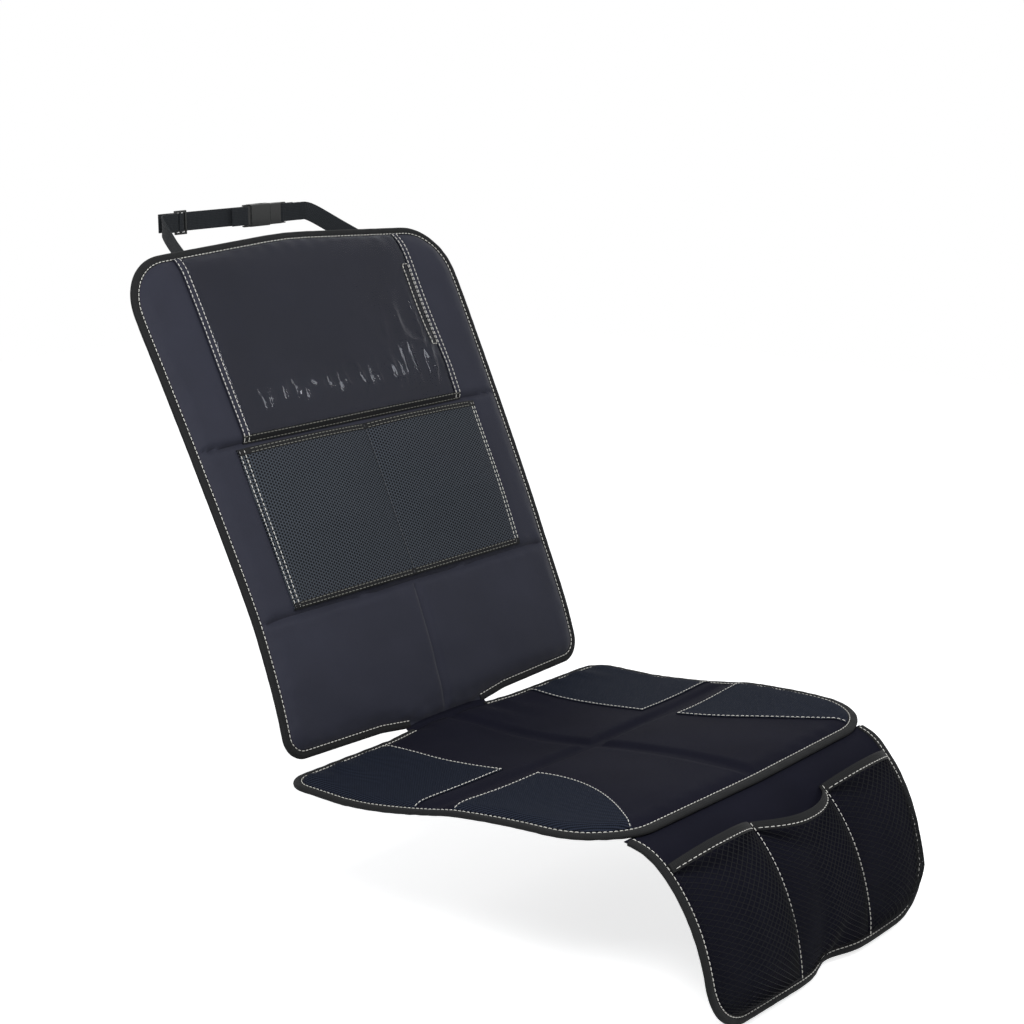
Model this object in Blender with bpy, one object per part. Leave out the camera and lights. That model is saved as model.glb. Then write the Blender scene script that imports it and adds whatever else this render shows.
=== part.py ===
"""Car seat protector: a quilted mat in the shape that it takes on a car seat.

The mat is described in its own coordinates. x runs across it, v runs along it and h stands
off its visible side. v is 0 in the crease between back and seat, grows up the back panel and
falls along the seat and down the front flap. A profile, worked out from the mat's slope,
carries (x, v, h) into the world: +X across, the back panel towards +Y, +Z up, in metres.
"""

import math

import bmesh
import bpy
import numpy as np
from mathutils.geometry import delaunay_2d_cdt

# Back panel
BACK_HEIGHT = 0.553
BACK_FOOT_HALF = 0.2306
BACK_WAIST_HALF = 0.2272
BACK_TOP_HALF = 0.2376
BACK_WAIST_V = 0.150
BACK_SHOULDER_RUN = 0.012
BACK_TOP_CORNER = 0.062
BACK_FOOT_CORNER = 0.026
TOP_CROWN = 0.014
# Seat panel
SEAT_DEPTH = 0.401
SEAT_HALF = 0.2525
SEAT_REAR_CORNER = 0.030
SEAT_FRONT_CORNER = 0.078
SEAT_DISH = 0.006
# Slits between back and seat, where the child seat's anchors pass
SLIT_INNER = 0.057
SLIT_HALF_GAP = 0.0075
SLIT_TAPER = 0.040
# Front flap
FLAP_LENGTH = 0.203
FLAP_TUCK = 0.012
FLAP_TOP_HALF = 0.200
FLAP_FOOT_HALF = 0.184
FLAP_CORNER = 0.058
FLAP_FOLD_X = 0.022
FLAP_FOLD_HALF = 0.030
FLAP_FOLD_DEPTH = 0.006
# Slopes of the mat: share of each panel's length, and degrees
CREASE_TURN = 0.0002
BACK_LEAN = ((0.0, 11), (0.18, 22), (0.40, 26), (0.62, 27), (0.90, 28.5), (1.0, 33))
SEAT_RISE = ((0.0, 1), (0.20, 1), (0.34, 5.5), (0.53, 10), (0.73, 6), (0.93, 0))
FLAP_DROP = ((0.0, 14), (0.12, 41), (0.32, 57), (0.56, 73), (0.80, 84), (1.0, 92))
# Layers
CLOTH = 0.0007
GAP = 0.0003
BACK_FOAM = 0.0065
SEAT_FOAM = 0.0045
FOAM_GAP = 0.0005
TAPE = 0.0007
TAPE_WIDTH = 0.0100
TAPE_GAP = 0.0006
RAMP_START = 0.0112
RAMP_END = 0.0220
CHANNEL_FLOOR = 0.003
CHANNEL_TOP = 0.012
# Mesh pocket on the back
POCKET_BOTTOM_V = 0.156
POCKET_TOP_V = 0.325
POCKET_HALF_BOTTOM = 0.175
POCKET_HALF_TOP = 0.180
POCKET_MESH = 0.0012
POCKET_BELLY = 0.0085
POCKET_HEM = 0.0085
# Tablet window on the back
WINDOW_POCKET_GAP = 0.006
WINDOW_HALF = 0.1655
WINDOW_STRIP = 0.0120
WINDOW_SIDE_STRIP = 0.0090
WINDOW_TOP_MARGIN = 0.0115
FILM = 0.0005
FILM_BELLY = 0.0085
CLOSURE_LENGTH = 0.097
CLOSURE_TOP_MARGIN = 0.0365
CLOSURE_WIDTH = 0.0100
CLOSURE_PILE = 0.0014
# Corner patches on the seat
PATCH = 0.0006
PATCH_STAND = 0.0008
PATCH_INNER_X = 0.113
PATCH_FOLD_MARGIN = 0.022
PATCH_NOSE_X = 0.180
PATCH_EDGE = 0.0106
FOLD_SHARE = 0.50
# Net pockets on the flap
NET = 0.0008
NET_STAND = 0.0012
NET_TAPE_GAP = 0.0009
NET_SEAM_GAP = 0.0015
NET_CELL_COLUMNS = 6
NET_CELL_ROWS = 7
NET_HOLE_SHARE = 0.62
NET_TOP_DROP = 0.033
NET_MOUTH = 0.020
NET_TAPE_WIDTH = 0.0090
NET_BELLY = 0.027
SEAM_LEFT_TOP_X = -0.058
SEAM_LEFT_FOOT_X = -0.042
SEAM_RIGHT_TOP_X = 0.066
SEAM_RIGHT_FOOT_X = 0.080
MIDDLE_SAG = 0.016
# Headrest strap
WEBBING_WIDTH = 0.0200
WEBBING = 0.0012
WEBBING_STAND = 0.0009
STRAP_BEHIND = 0.0855
STRAP_LIFT = 0.0491
TAB_BELOW_TOP = 0.042
TAB_X = 0.150
TAB_END_X = 0.178
BUCKLE_X = 0.0015
BUCKLE_LENGTH = 0.064
BUCKLE_HEIGHT = 0.0245
BUCKLE_THICKNESS = 0.0090
BUCKLE_WALL = 0.0014
BUCKLE_LOOP = 0.0025
BUCKLE_BAR_HALF = 0.0014
BUCKLE_WAIST_HALF = 0.0011
BUCKLE_WAIST_LENGTH = 0.0085
BUCKLE_BAR_IN = 0.0040
BUCKLE_SLOT_END = 0.0096
BUCKLE_CAVITY_IN = 0.0120
BUCKLE_CLEAR = 0.0004
BUCKLE_STEP = 0.0010
BUCKLE_ROOT = 0.004
SOCKET_LENGTH = 0.038
PRONG_WINDOW_IN = 0.006
PRONG_WINDOW_LENGTH = 0.012
PRONG_ARM = 0.0028
PRONG_TIP_IN = 0.0011
PRONG_CATCH_SHORT = 0.0030
GUIDE_IN = 0.003
GUIDE_HALF = 0.0022
WEBBING_ROOM = 0.0006
CUT_OVER = 0.01
SLIDER_X = -0.088
SLIDER_BAR = 0.0022
SLIDER_SLOT = 0.0050
SLIDER_LOOP = 0.0023
SLIDER_THICKNESS = 0.0020
SLIDER_RAIL = 0.0022

SEAM_TOP = CLOTH + GAP / 2
FOLD_V = -FOLD_SHARE * SEAT_DEPTH
SEAT_MIDDLE_X = SLIT_INNER - 0.002
WINDOW_BOTTOM_V = POCKET_TOP_V + WINDOW_POCKET_GAP
WINDOW_TOP_V = BACK_HEIGHT - TAPE_WIDTH - WINDOW_TOP_MARGIN
CLOSURE_HIGH_V = WINDOW_TOP_V - CLOSURE_TOP_MARGIN
CLOSURE_LOW_V = CLOSURE_HIGH_V - CLOSURE_LENGTH
TAB_V = BACK_HEIGHT - TAB_BELOW_TOP
FLAP_TOP_V = -SEAT_DEPTH + FLAP_TUCK
FLAP_FOOT_V = -SEAT_DEPTH - FLAP_LENGTH
FLAP_LEVEL = -(SEAM_TOP + TAPE_GAP + TAPE + TAPE_GAP + CLOTH / 2)
NET_TOP_V = -SEAT_DEPTH - NET_TOP_DROP
# The two bound edges in the crease start where they would meet along a mitre
MITRE_ANGLE = math.radians((90 - BACK_LEAN[0][1] + SEAT_RISE[0][1]) / 2)
MITRE = (SEAM_TOP + TAPE_GAP + TAPE) * math.tan(MITRE_ANGLE) + GAP


def clear_scene():
    for thing in list(bpy.data.objects):
        bpy.data.objects.remove(thing, do_unlink=True)


def headings():
    """Distances along the mat and the headings there, in degrees: 0 runs to the rear, 90 runs up."""
    seat_rise = SEAT_RISE[0][1]
    back_heading = 90 - BACK_LEAN[0][1]
    rows = [(-SEAT_DEPTH - share * FLAP_LENGTH, drop) for share, drop in reversed(FLAP_DROP)]
    rows += [(-share * SEAT_DEPTH, -rise) for share, rise in reversed(SEAT_RISE[1:])]
    rows += [(-CREASE_TURN, -seat_rise), (CREASE_TURN, back_heading)]
    rows += [(share * BACK_HEIGHT, 90 - lean) for share, lean in BACK_LEAN[1:]]
    return np.array(rows)


HEADINGS = headings()


def make_profile(step=0.0005):
    """The mat's centre line: small steps along its heading, added up from the crease both ways."""
    ends = (HEADINGS[0, 0] - 0.01, HEADINGS[-1, 0] + 0.01)
    v = np.concatenate([np.arange(0, ends[0], -step)[::-1], np.arange(step, ends[1], step)])
    turn = np.radians(np.interp(v, HEADINGS[:, 0], HEADINGS[:, 1]))
    middle = (turn[1:] + turn[:-1]) / 2
    y = np.concatenate([[0], np.cumsum(np.cos(middle) * np.diff(v))])
    z = np.concatenate([[0], np.cumsum(np.sin(middle) * np.diff(v))])
    crease = int(np.argmin(np.abs(v)))
    return v, y - y[crease], z - z[crease]


PROFILE = make_profile()


def stations(low, high, most_turn=4.6, most_step=0.045):
    """Distances along the mat at which its meshes have a row: closer together where it turns."""
    rows = [HEADINGS[0, 0] - 0.01]
    for v in np.arange(HEADINGS[0, 0], HEADINGS[-1, 0], 0.0005):
        turned = abs(np.interp(v, *HEADINGS.T) - np.interp(rows[-1], *HEADINGS.T))
        if turned > most_turn or v - rows[-1] > most_step:
            rows.append(v)
    rows = np.array(rows + [HEADINGS[-1, 0] + 0.01])
    rows = np.sort(np.concatenate([rows[np.abs(rows) > 0.001], [-CREASE_TURN, CREASE_TURN]]))
    return rows[(rows > low) & (rows < high)]


ROWS = stations(-1, 1)
SEAT_COLUMNS = tuple(sign * x for sign in (-1, 1) for x in (SEAT_MIDDLE_X, PATCH_INNER_X, PATCH_NOSE_X))
FLAP_COLUMNS = tuple(FLAP_FOLD_X + FLAP_FOLD_HALF * way for way in (-2.2, -1.2, -0.5, 0.5, 1.2, 2.2))
ROW_TURN = np.radians(np.interp(ROWS, *HEADINGS.T))
ROW_Y = np.interp(ROWS, PROFILE[0], PROFILE[1])
ROW_Z = np.interp(ROWS, PROFILE[0], PROFILE[2])


def ground(x, v):
    """How far the mat stands off its profile: the seat is dished, the flap has a soft fold.

    Both are read between the meshes' own rows and columns, so that every layer keeps their shape."""
    dish_along = np.interp(v, ROWS, np.clip(1 - np.abs(-ROWS / SEAT_DEPTH - 0.56) / 0.34, 0, 1))
    columns = np.sort([-0.26, *SEAT_COLUMNS, 0.26])
    dish = SEAT_DISH * np.interp(x, columns, (columns / SEAT_HALF) ** 2) * dish_along
    down_flap = np.interp(v, ROWS, np.clip((-ROWS - SEAT_DEPTH) / FLAP_LENGTH, 0, 1))
    across = np.array([-0.2, *FLAP_COLUMNS, 0.2])
    fold = np.interp(x, across, np.exp(-(((across - FLAP_FOLD_X) / FLAP_FOLD_HALF) ** 2)))
    return dish - FLAP_FOLD_DEPTH * fold * down_flap


def place(x, v, h):
    """World points of mat coordinates: out along the profile's normal by h and the ground.

    Between two stations the mat is flat, so layers at different heights nest exactly."""
    x, v, h = np.broadcast_arrays(np.asarray(x, float), v, h)
    out = h + ground(x, v)
    y = np.interp(v, ROWS, ROW_Y) - np.interp(v, ROWS, np.sin(ROW_TURN)) * out
    z = np.interp(v, ROWS, ROW_Z) + np.interp(v, ROWS, np.cos(ROW_TURN)) * out
    return np.stack([x, y, z], axis=-1)


STRAP_Y, STRAP_Z = place(0.0, TAB_V, 0.0)[1:] + np.array([STRAP_BEHIND, STRAP_LIFT])


def rounded(corners, arc_step=16):
    """An outline through corners (x, v, radius), each rounded by an arc of its radius."""
    points = []
    for index, (x, v, radius) in enumerate(corners):
        corner = np.array([x, v])
        before = np.array(corners[index - 1][:2]) - corner
        after = np.array(corners[(index + 1) % len(corners)][:2]) - corner
        before /= np.linalg.norm(before)
        after /= np.linalg.norm(after)
        opening = math.acos(np.clip(np.dot(before, after), -1, 1))
        if radius == 0 or math.pi - opening < 0.04:
            points.append(corner)
            continue
        reach = radius / math.tan(opening / 2)
        centre = corner + (before + after) / np.linalg.norm(before + after) * radius / math.sin(opening / 2)
        start = corner + before * reach - centre
        end = corner + after * reach - centre
        first = math.atan2(start[1], start[0])
        turn = math.atan2(start[0] * end[1] - start[1] * end[0], np.dot(start, end))
        count = max(2, math.ceil(abs(math.degrees(turn)) / arc_step))
        angles = first + turn * np.arange(count + 1) / count
        points += list(centre + radius * np.column_stack([np.cos(angles), np.sin(angles)]))
    return np.array(points)


def mirrored(right_side):
    """A whole outline from its right side, which runs from the foot to the top."""
    left_side = [(-x, v, radius) for x, v, radius in reversed(right_side) if x > 0]
    return right_side + left_side


def edge_distance(points, outline):
    """Distance of each point to the nearest edge of an outline."""
    start, end = outline, np.roll(outline, -1, axis=0)
    along = end - start
    reach = points[:, None] - start[None]
    share = np.clip((reach * along).sum(-1) / (along * along).sum(-1), 0, 1)
    return np.linalg.norm(reach - share[..., None] * along, axis=-1).min(axis=1)


def inside(points, outline):
    """Whether each point lies inside an outline, by counting the edges to its right."""
    x, v = points[:, 0, None], points[:, 1, None]
    x0, v0 = outline.T
    x1, v1 = np.roll(outline, -1, axis=0).T
    with np.errstate(divide="ignore", invalid="ignore"):
        crossing = ((v0 > v) != (v1 > v)) & (x < (x1 - x0) * (v - v0) / (v1 - v0) + x0)
    return crossing.sum(axis=1) % 2 == 1


def inset(outline, distance):
    """An outline moved inwards by a distance, corner by corner."""
    before = outline - np.roll(outline, 1, axis=0)
    after = np.roll(outline, -1, axis=0) - outline
    before /= np.linalg.norm(before, axis=1)[:, None]
    after /= np.linalg.norm(after, axis=1)[:, None]
    inward = np.column_stack([-before[:, 1] - after[:, 1], before[:, 0] + after[:, 0]])
    inward /= np.linalg.norm(inward, axis=1)[:, None]
    facing = -before[:, 1] * inward[:, 0] + before[:, 0] * inward[:, 1]
    return outline + inward * (distance / np.clip(facing, 0.5, 1))[:, None]


def cut_lines(outline, rows, columns=()):
    """An outline with a point wherever it crosses one of the rows or columns."""
    points = []
    for start, end in zip(outline, np.roll(outline, -1, axis=0)):
        shares = [0.0]
        for axis, levels in ((1, rows), (0, columns)):
            if abs(end[axis] - start[axis]) > 1e-9:
                shares += [(level - start[axis]) / (end[axis] - start[axis]) for level in levels]
        kept = []
        for share in sorted(shares):
            room = 0.0025 / np.linalg.norm(end - start)
            if 0 <= share < 1 and (not kept or (share - kept[-1] > room and 1 - share > room)):
                kept.append(share)
        points += [start + share * (end - start) for share in kept]
    return np.array(points)


# Outlines in mat coordinates, counter-clockwise from the foot's right end


def back_outline():
    foot = SLIT_HALF_GAP
    right = [
        (SLIT_INNER, MITRE, 0),
        (SLIT_INNER + SLIT_TAPER, foot, 0.05),
        (BACK_FOOT_HALF, foot + 0.004, BACK_FOOT_CORNER),
        (BACK_WAIST_HALF, BACK_WAIST_V, 0.4),
        (BACK_TOP_HALF, BACK_HEIGHT - TOP_CROWN - BACK_TOP_CORNER - BACK_SHOULDER_RUN, 0),
        (BACK_TOP_HALF, BACK_HEIGHT - TOP_CROWN, BACK_TOP_CORNER),
        (0.0, BACK_HEIGHT, 0.5),
    ]
    return rounded(mirrored(right))


def seat_outline():
    right = [
        (0.0, -SEAT_DEPTH, 0),
        (SEAT_HALF - 0.020, -SEAT_DEPTH + 0.004, SEAT_FRONT_CORNER),
        (SEAT_HALF, -0.30 * SEAT_DEPTH, 0.3),
        (SEAT_HALF - 0.003, -SLIT_HALF_GAP - 0.001, SEAT_REAR_CORNER),
        (SLIT_INNER + SLIT_TAPER, -SLIT_HALF_GAP, 0.05),
        (SLIT_INNER, -MITRE, 0),
    ]
    return rounded(mirrored(right))


def flap_outline():
    right = [
        (0.0, FLAP_FOOT_V, 0),
        (FLAP_FOOT_HALF, FLAP_FOOT_V + 0.004, FLAP_CORNER),
        (FLAP_TOP_HALF - 0.006, NET_TOP_V, 0.2),
        (FLAP_TOP_HALF, FLAP_TOP_V, 0),
    ]
    return rounded(mirrored(right))


BACK_EDGE = cut_lines(back_outline(), ROWS)
SEAT_EDGE = cut_lines(seat_outline(), ROWS, SEAT_COLUMNS)
FLAP_EDGE = cut_lines(flap_outline(), ROWS, FLAP_COLUMNS)
BACK_CHANNELS = (POCKET_BOTTOM_V - 0.006, POCKET_TOP_V + 0.007)


# Relief of the quilted faces


def ramp(distance, start, end):
    return np.clip((distance - start) / (end - start), 0, 1)


def back_rise(x, v):
    """The foam lifts the back's face everywhere but at its rim and its sewn channels."""
    shape = np.broadcast(x, v).shape
    points = np.column_stack([np.broadcast_to(x, shape).ravel(), np.broadcast_to(v, shape).ravel()])
    lift = ramp(edge_distance(points, BACK_EDGE), RAMP_START, RAMP_END)
    for channel in BACK_CHANNELS:
        lift = np.minimum(lift, ramp(np.abs(points[:, 1] - channel), CHANNEL_FLOOR, CHANNEL_TOP))
    centre = ramp(np.abs(points[:, 0]), CHANNEL_FLOOR, CHANNEL_TOP)
    lift = np.where(points[:, 1] < BACK_CHANNELS[0], np.minimum(lift, centre), lift)
    return BACK_FOAM * lift.reshape(shape)


def seat_rise(x, v):
    """The seat's foam is four boards: a fold runs along it and another across it."""
    shape = np.broadcast(x, v).shape
    points = np.column_stack([np.broadcast_to(x, shape).ravel(), np.broadcast_to(v, shape).ravel()])
    lift = ramp(edge_distance(points, SEAT_EDGE), RAMP_START, RAMP_END)
    for distance in (np.abs(points[:, 0]), np.abs(points[:, 1] - FOLD_V)):
        lift = np.minimum(lift, ramp(distance, CHANNEL_FLOOR, CHANNEL_TOP))
    return SEAT_FOAM * lift.reshape(shape)


# Meshes


def add_object(name, points, faces, material, smooth=40):
    mesh = bpy.data.meshes.new(name)
    mesh.from_pydata([tuple(point) for point in points], [], faces)
    mesh.update()
    body = bpy.data.objects.new(name, mesh)
    bpy.context.collection.objects.link(body)
    body.data.materials.append(material)
    body.data.shade_smooth()
    body.data.set_sharp_from_angle(angle=math.radians(smooth))
    return body


def ramp_lines(outline):
    """The lines that bound a quilted ramp: a ring at its foot, one at its top and the spokes between."""
    foot = inset(outline, RAMP_START)
    top = inset(outline, RAMP_END)
    lines = []
    for ring in (foot, top):
        lines += list(zip(ring, np.roll(ring, -1, axis=0)))
    return lines + list(zip(foot, top))


def panel(name, outline, low, high, material, rows, columns=(), lines=()):
    """A sheet with any outline: rows, columns and other lines divide it into flat cells."""
    reach = np.abs(outline).max() + 0.1
    lines = list(zip(outline, np.roll(outline, -1, axis=0))) + list(lines)
    lines += [((-reach, level), (reach, level)) for level in rows]
    lines += [((level, -reach), (level, reach)) for level in columns]
    points = [tuple(point) for line in lines for point in line]
    edges = [(2 * index, 2 * index + 1) for index in range(len(lines))]
    flat, _, triangles, *_ = delaunay_2d_cdt(points, edges, [], 0, 1e-6)
    flat = np.array([tuple(point) for point in flat])
    triangles = np.array(triangles)
    triangles = triangles[inside(flat[triangles].mean(axis=1), outline)]
    used, triangles = np.unique(triangles, return_inverse=True)
    flat = flat[used]
    triangles = triangles.reshape(-1, 3)
    count = len(flat)
    top = place(flat[:, 0], flat[:, 1], high(flat[:, 0], flat[:, 1]))
    bottom = place(flat[:, 0], flat[:, 1], low(flat[:, 0], flat[:, 1]))
    faces = []
    for a, b, c in triangles.tolist():
        (x0, v0), (x1, v1), (x2, v2) = flat[a], flat[b], flat[c]
        turn = (x1 - x0) * (v2 - v0) - (x2 - x0) * (v1 - v0)
        faces.append((a, b, c) if turn > 0 else (a, c, b))
    sides = {(face[i], face[(i + 1) % 3]) for face in faces for i in range(3)}
    rim = [(b, a, a + count, b + count) for a, b in sides if (b, a) not in sides]
    under = [tuple(index + count for index in reversed(face)) for face in faces]
    return add_object(name, np.vstack([top, bottom]), faces + under + rim, material)


def slab(name, grid, low, high, material):
    """A sheet on a grid of mat points (rows, columns, 2), closed all round."""
    x, v = grid[..., 0], grid[..., 1]
    top = place(x, v, high(x, v))
    bottom = place(x, v, low(x, v))
    return closed_grid(name, top, bottom, material)


def closed_grid(name, top, bottom, material):
    """Two grids of world points joined into one closed body."""
    rows, columns = top.shape[:2]
    count = rows * columns
    index = np.arange(count).reshape(rows, columns)
    faces = []
    for i in range(rows - 1):
        for j in range(columns - 1):
            a, b = int(index[i, j]), int(index[i, j + 1])
            c, d = int(index[i + 1, j + 1]), int(index[i + 1, j])
            for face in ((a, b, c), (a, c, d)):
                faces += [face, tuple(k + count for k in reversed(face))]
    around = [(0, j) for j in range(columns)] + [(i, columns - 1) for i in range(1, rows)]
    around += [(rows - 1, j) for j in range(columns - 2, -1, -1)] + [(i, 0) for i in range(rows - 2, 0, -1)]
    for start, end in zip(around, around[1:] + around[:1]):
        a, b = int(index[start]), int(index[end])
        faces.append((b, a, a + count, b + count))
    return oriented(add_object(name, np.vstack([top.reshape(-1, 3), bottom.reshape(-1, 3)]), faces, material))


def oriented(body):
    """The same body with every face pointing out."""
    shape = bmesh.new()
    shape.from_mesh(body.data)
    bmesh.ops.recalc_face_normals(shape, faces=shape.faces)
    shape.to_mesh(body.data)
    shape.free()
    return body


def tube(name, rings, material, smooth=40):
    """A section carried along a path, given as rings of world points, with a cap at each end."""
    count, size = rings.shape[:2]
    faces = []
    for i in range(count - 1):
        for j in range(size):
            k = (j + 1) % size
            faces.append((i * size + j, i * size + k, (i + 1) * size + k, (i + 1) * size + j))
    faces.append(tuple(range(size)))
    faces.append(tuple((count - 1) * size + j for j in reversed(range(size))))
    return oriented(add_object(name, rings.reshape(-1, 3), faces, material, smooth))


def fold_tape(name, path, level, below, above, width, material, inward=None):
    """Tape folded over an edge: path holds mat points, with the sheet to the left of its travel.

    level gives the sheet's middle height, below and above the free space that the tape straddles."""
    if inward is None:
        travel = np.gradient(path, axis=0)
        travel /= np.linalg.norm(travel, axis=1)[:, None]
        inward = np.column_stack([-travel[:, 1], travel[:, 0]])
    section = [
        (0, -below - TAPE),
        (width, -below - TAPE),
        (width, -below),
        (TAPE, -below),
        (TAPE, above),
        (width, above),
        (width, above + TAPE),
        (0, above + TAPE),
    ]
    rings = []
    for depth, height in section:
        spot = path + inward * depth
        rings.append(place(spot[:, 0], spot[:, 1], level(path[:, 0], path[:, 1]) + height))
    return tube(name, np.stack(rings, axis=1), material)


def run_of(outline, first, last):
    """The stretch of an outline from the point nearest to first to the point nearest to last."""
    start = int(np.argmin(np.linalg.norm(outline - np.array(first), axis=1)))
    end = int(np.argmin(np.linalg.norm(outline - np.array(last), axis=1)))
    turned = np.roll(outline, -start, axis=0)
    return turned[: (end - start) % len(outline) + 1]


# Materials


def make_material(name, colour, roughness, alpha=1.0):
    material = bpy.data.materials.new(name)
    material.use_nodes = True
    shader = material.node_tree.nodes["Principled BSDF"]
    shader.inputs["Base Color"].default_value = (*colour, 1.0)
    shader.inputs["Roughness"].default_value = roughness
    shader.inputs["Metallic"].default_value = 0.0
    shader.inputs["Alpha"].default_value = alpha
    return material


def make_materials():
    return {
        "polyester": make_material("polyester", (0.017, 0.018, 0.027), 0.75),
        "twill": make_material("twill", (0.023, 0.031, 0.045), 0.65),
        "binding": make_material("binding", (0.018, 0.019, 0.018), 0.7),
        "backing": make_material("backing", (0.020, 0.020, 0.022), 0.9),
        "foam": make_material("foam", (0.10, 0.10, 0.11), 0.95),
        "spacer_mesh": make_material("spacer_mesh", (0.030, 0.034, 0.038), 0.8),
        "net": make_material("net", (0.012, 0.013, 0.016), 0.7),
        "film": make_material("film", (0.6, 0.62, 0.65), 0.08, 0.25),
        "webbing": make_material("webbing", (0.013, 0.015, 0.017), 0.8),
        "plastic": make_material("plastic", (0.011, 0.012, 0.012), 0.4),
        "closure": make_material("closure", (0.012, 0.012, 0.014), 0.95),
    }


# Back panel


def level_at(height):
    return lambda x, v: np.full(np.shape(x), height, float)


def build_back(paint):
    edge = inset(BACK_EDGE, TAPE + GAP)
    low, high = BACK_CHANNELS
    rows = list(ROWS[ROWS > 0])
    for channel in BACK_CHANNELS:
        rows += [channel + side * reach for side in (-1, 1) for reach in (CHANNEL_FLOOR, CHANNEL_TOP)]
    columns = [-CHANNEL_TOP, -CHANNEL_FLOOR, CHANNEL_FLOOR, CHANNEL_TOP]
    panel("back_face", edge, lambda x, v: GAP / 2 + back_rise(x, v),
          lambda x, v: SEAM_TOP + back_rise(x, v), paint["polyester"], rows, columns, ramp_lines(BACK_EDGE))
    panel("back_backing", edge, level_at(-SEAM_TOP), level_at(-GAP / 2), paint["backing"],
          ROWS[ROWS > 0])
    right = (SLIT_INNER, MITRE)
    left = (-SLIT_INNER, MITRE)
    fold_tape("back_binding", run_of(BACK_EDGE, right, left), level_at(0.0), SEAM_TOP + TAPE_GAP,
              SEAM_TOP + TAPE_GAP, TAPE_WIDTH, paint["binding"])
    clear = CHANNEL_TOP + FOAM_GAP
    rim = inset(BACK_EDGE, RAMP_END + FOAM_GAP)
    boards = {
        "foam_back_top": (high + clear, BACK_HEIGHT, None, None),
        "foam_back_middle": (low + clear, high - clear, None, None),
        "foam_back_bottom_left": (0.0, low - clear, None, -clear),
        "foam_back_bottom_right": (0.0, low - clear, clear, None),
    }
    for name, (v_low, v_high, x_low, x_high) in boards.items():
        foam_board(name, rim, v_low, v_high, x_low, x_high, BACK_FOAM, paint["foam"])


def foam_board(name, rim, v_low, v_high, x_low, x_high, foam, material, columns=2):
    """A foam board fills the rim's shape between two distances along the mat and two across it."""
    bottom = max(v_low, rim[:, 1].min() + 0.0005)
    top = min(v_high, rim[:, 1].max() - 0.0005)
    rows = np.concatenate([[bottom], ROWS[(ROWS > bottom + 0.001) & (ROWS < top - 0.001)], [top]])
    corner = rim[(rim[:, 0] > 0) & (rim[:, 1] > bottom + 0.003) & (rim[:, 1] < top - 0.003)][:, 1]
    rows = np.sort(np.concatenate([rows, [v for v in corner if np.abs(rows - v).min() > 0.003]]))
    ends = []
    for v in rows:
        crossings = crossings_at(rim, v)
        left = max(crossings.min(), -1 if x_low is None else x_low)
        right = min(crossings.max(), 1 if x_high is None else x_high)
        ends.append((left, right))
    ends = np.array(ends)
    share = np.linspace(0, 1, columns)
    x = ends[:, :1] * (1 - share) + ends[:, 1:] * share
    grid = np.stack([x, np.broadcast_to(rows[:, None], x.shape)], axis=-1)
    slab(name, grid, level_at(FOAM_GAP), level_at(foam - FOAM_GAP), material)


def crossings_at(outline, v):
    """Where an outline crosses one distance along the mat."""
    start, end = outline, np.roll(outline, -1, axis=0)
    hit = (start[:, 1] > v) != (end[:, 1] > v)
    share = (v - start[hit, 1]) / (end[hit, 1] - start[hit, 1])
    return start[hit, 0] + share * (end[hit, 0] - start[hit, 0])


# Seat panel


def build_seat(paint):
    edge = inset(SEAT_EDGE, TAPE + GAP)
    seat_rows = ROWS[(ROWS > -SEAT_DEPTH) & (ROWS < 0)]
    rows = list(seat_rows)
    rows += [FOLD_V + side * reach for side in (-1, 1) for reach in (CHANNEL_FLOOR, CHANNEL_TOP)]
    columns = [*SEAT_COLUMNS, -CHANNEL_TOP, -CHANNEL_FLOOR, CHANNEL_FLOOR, CHANNEL_TOP]
    panel("seat_face", edge, lambda x, v: GAP / 2 + seat_rise(x, v),
          lambda x, v: SEAM_TOP + seat_rise(x, v), paint["polyester"], rows, columns, ramp_lines(SEAT_EDGE))
    panel("seat_backing", edge, level_at(-SEAM_TOP), level_at(-GAP / 2), paint["backing"],
          seat_rows, SEAT_COLUMNS)
    left = (-SLIT_INNER, -MITRE)
    right = (SLIT_INNER, -MITRE)
    fold_tape("seat_binding", run_of(SEAT_EDGE, left, right), level_at(0.0), SEAM_TOP + TAPE_GAP,
              SEAM_TOP + TAPE_GAP, TAPE_WIDTH, paint["binding"])
    clear = CHANNEL_TOP + FOAM_GAP
    rim = inset(SEAT_EDGE, RAMP_END + FOAM_GAP)
    for row, v_low, v_high in (("front", -1, FOLD_V - clear), ("rear", FOLD_V + clear, 0)):
        foam_board(f"foam_seat_{row}_left", rim, v_low, v_high, None, -clear, SEAT_FOAM, paint["foam"], 5)
        foam_board(f"foam_seat_{row}_right", rim, v_low, v_high, clear, None, SEAT_FOAM, paint["foam"], 5)
    build_patches(paint, rows, columns)


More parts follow.
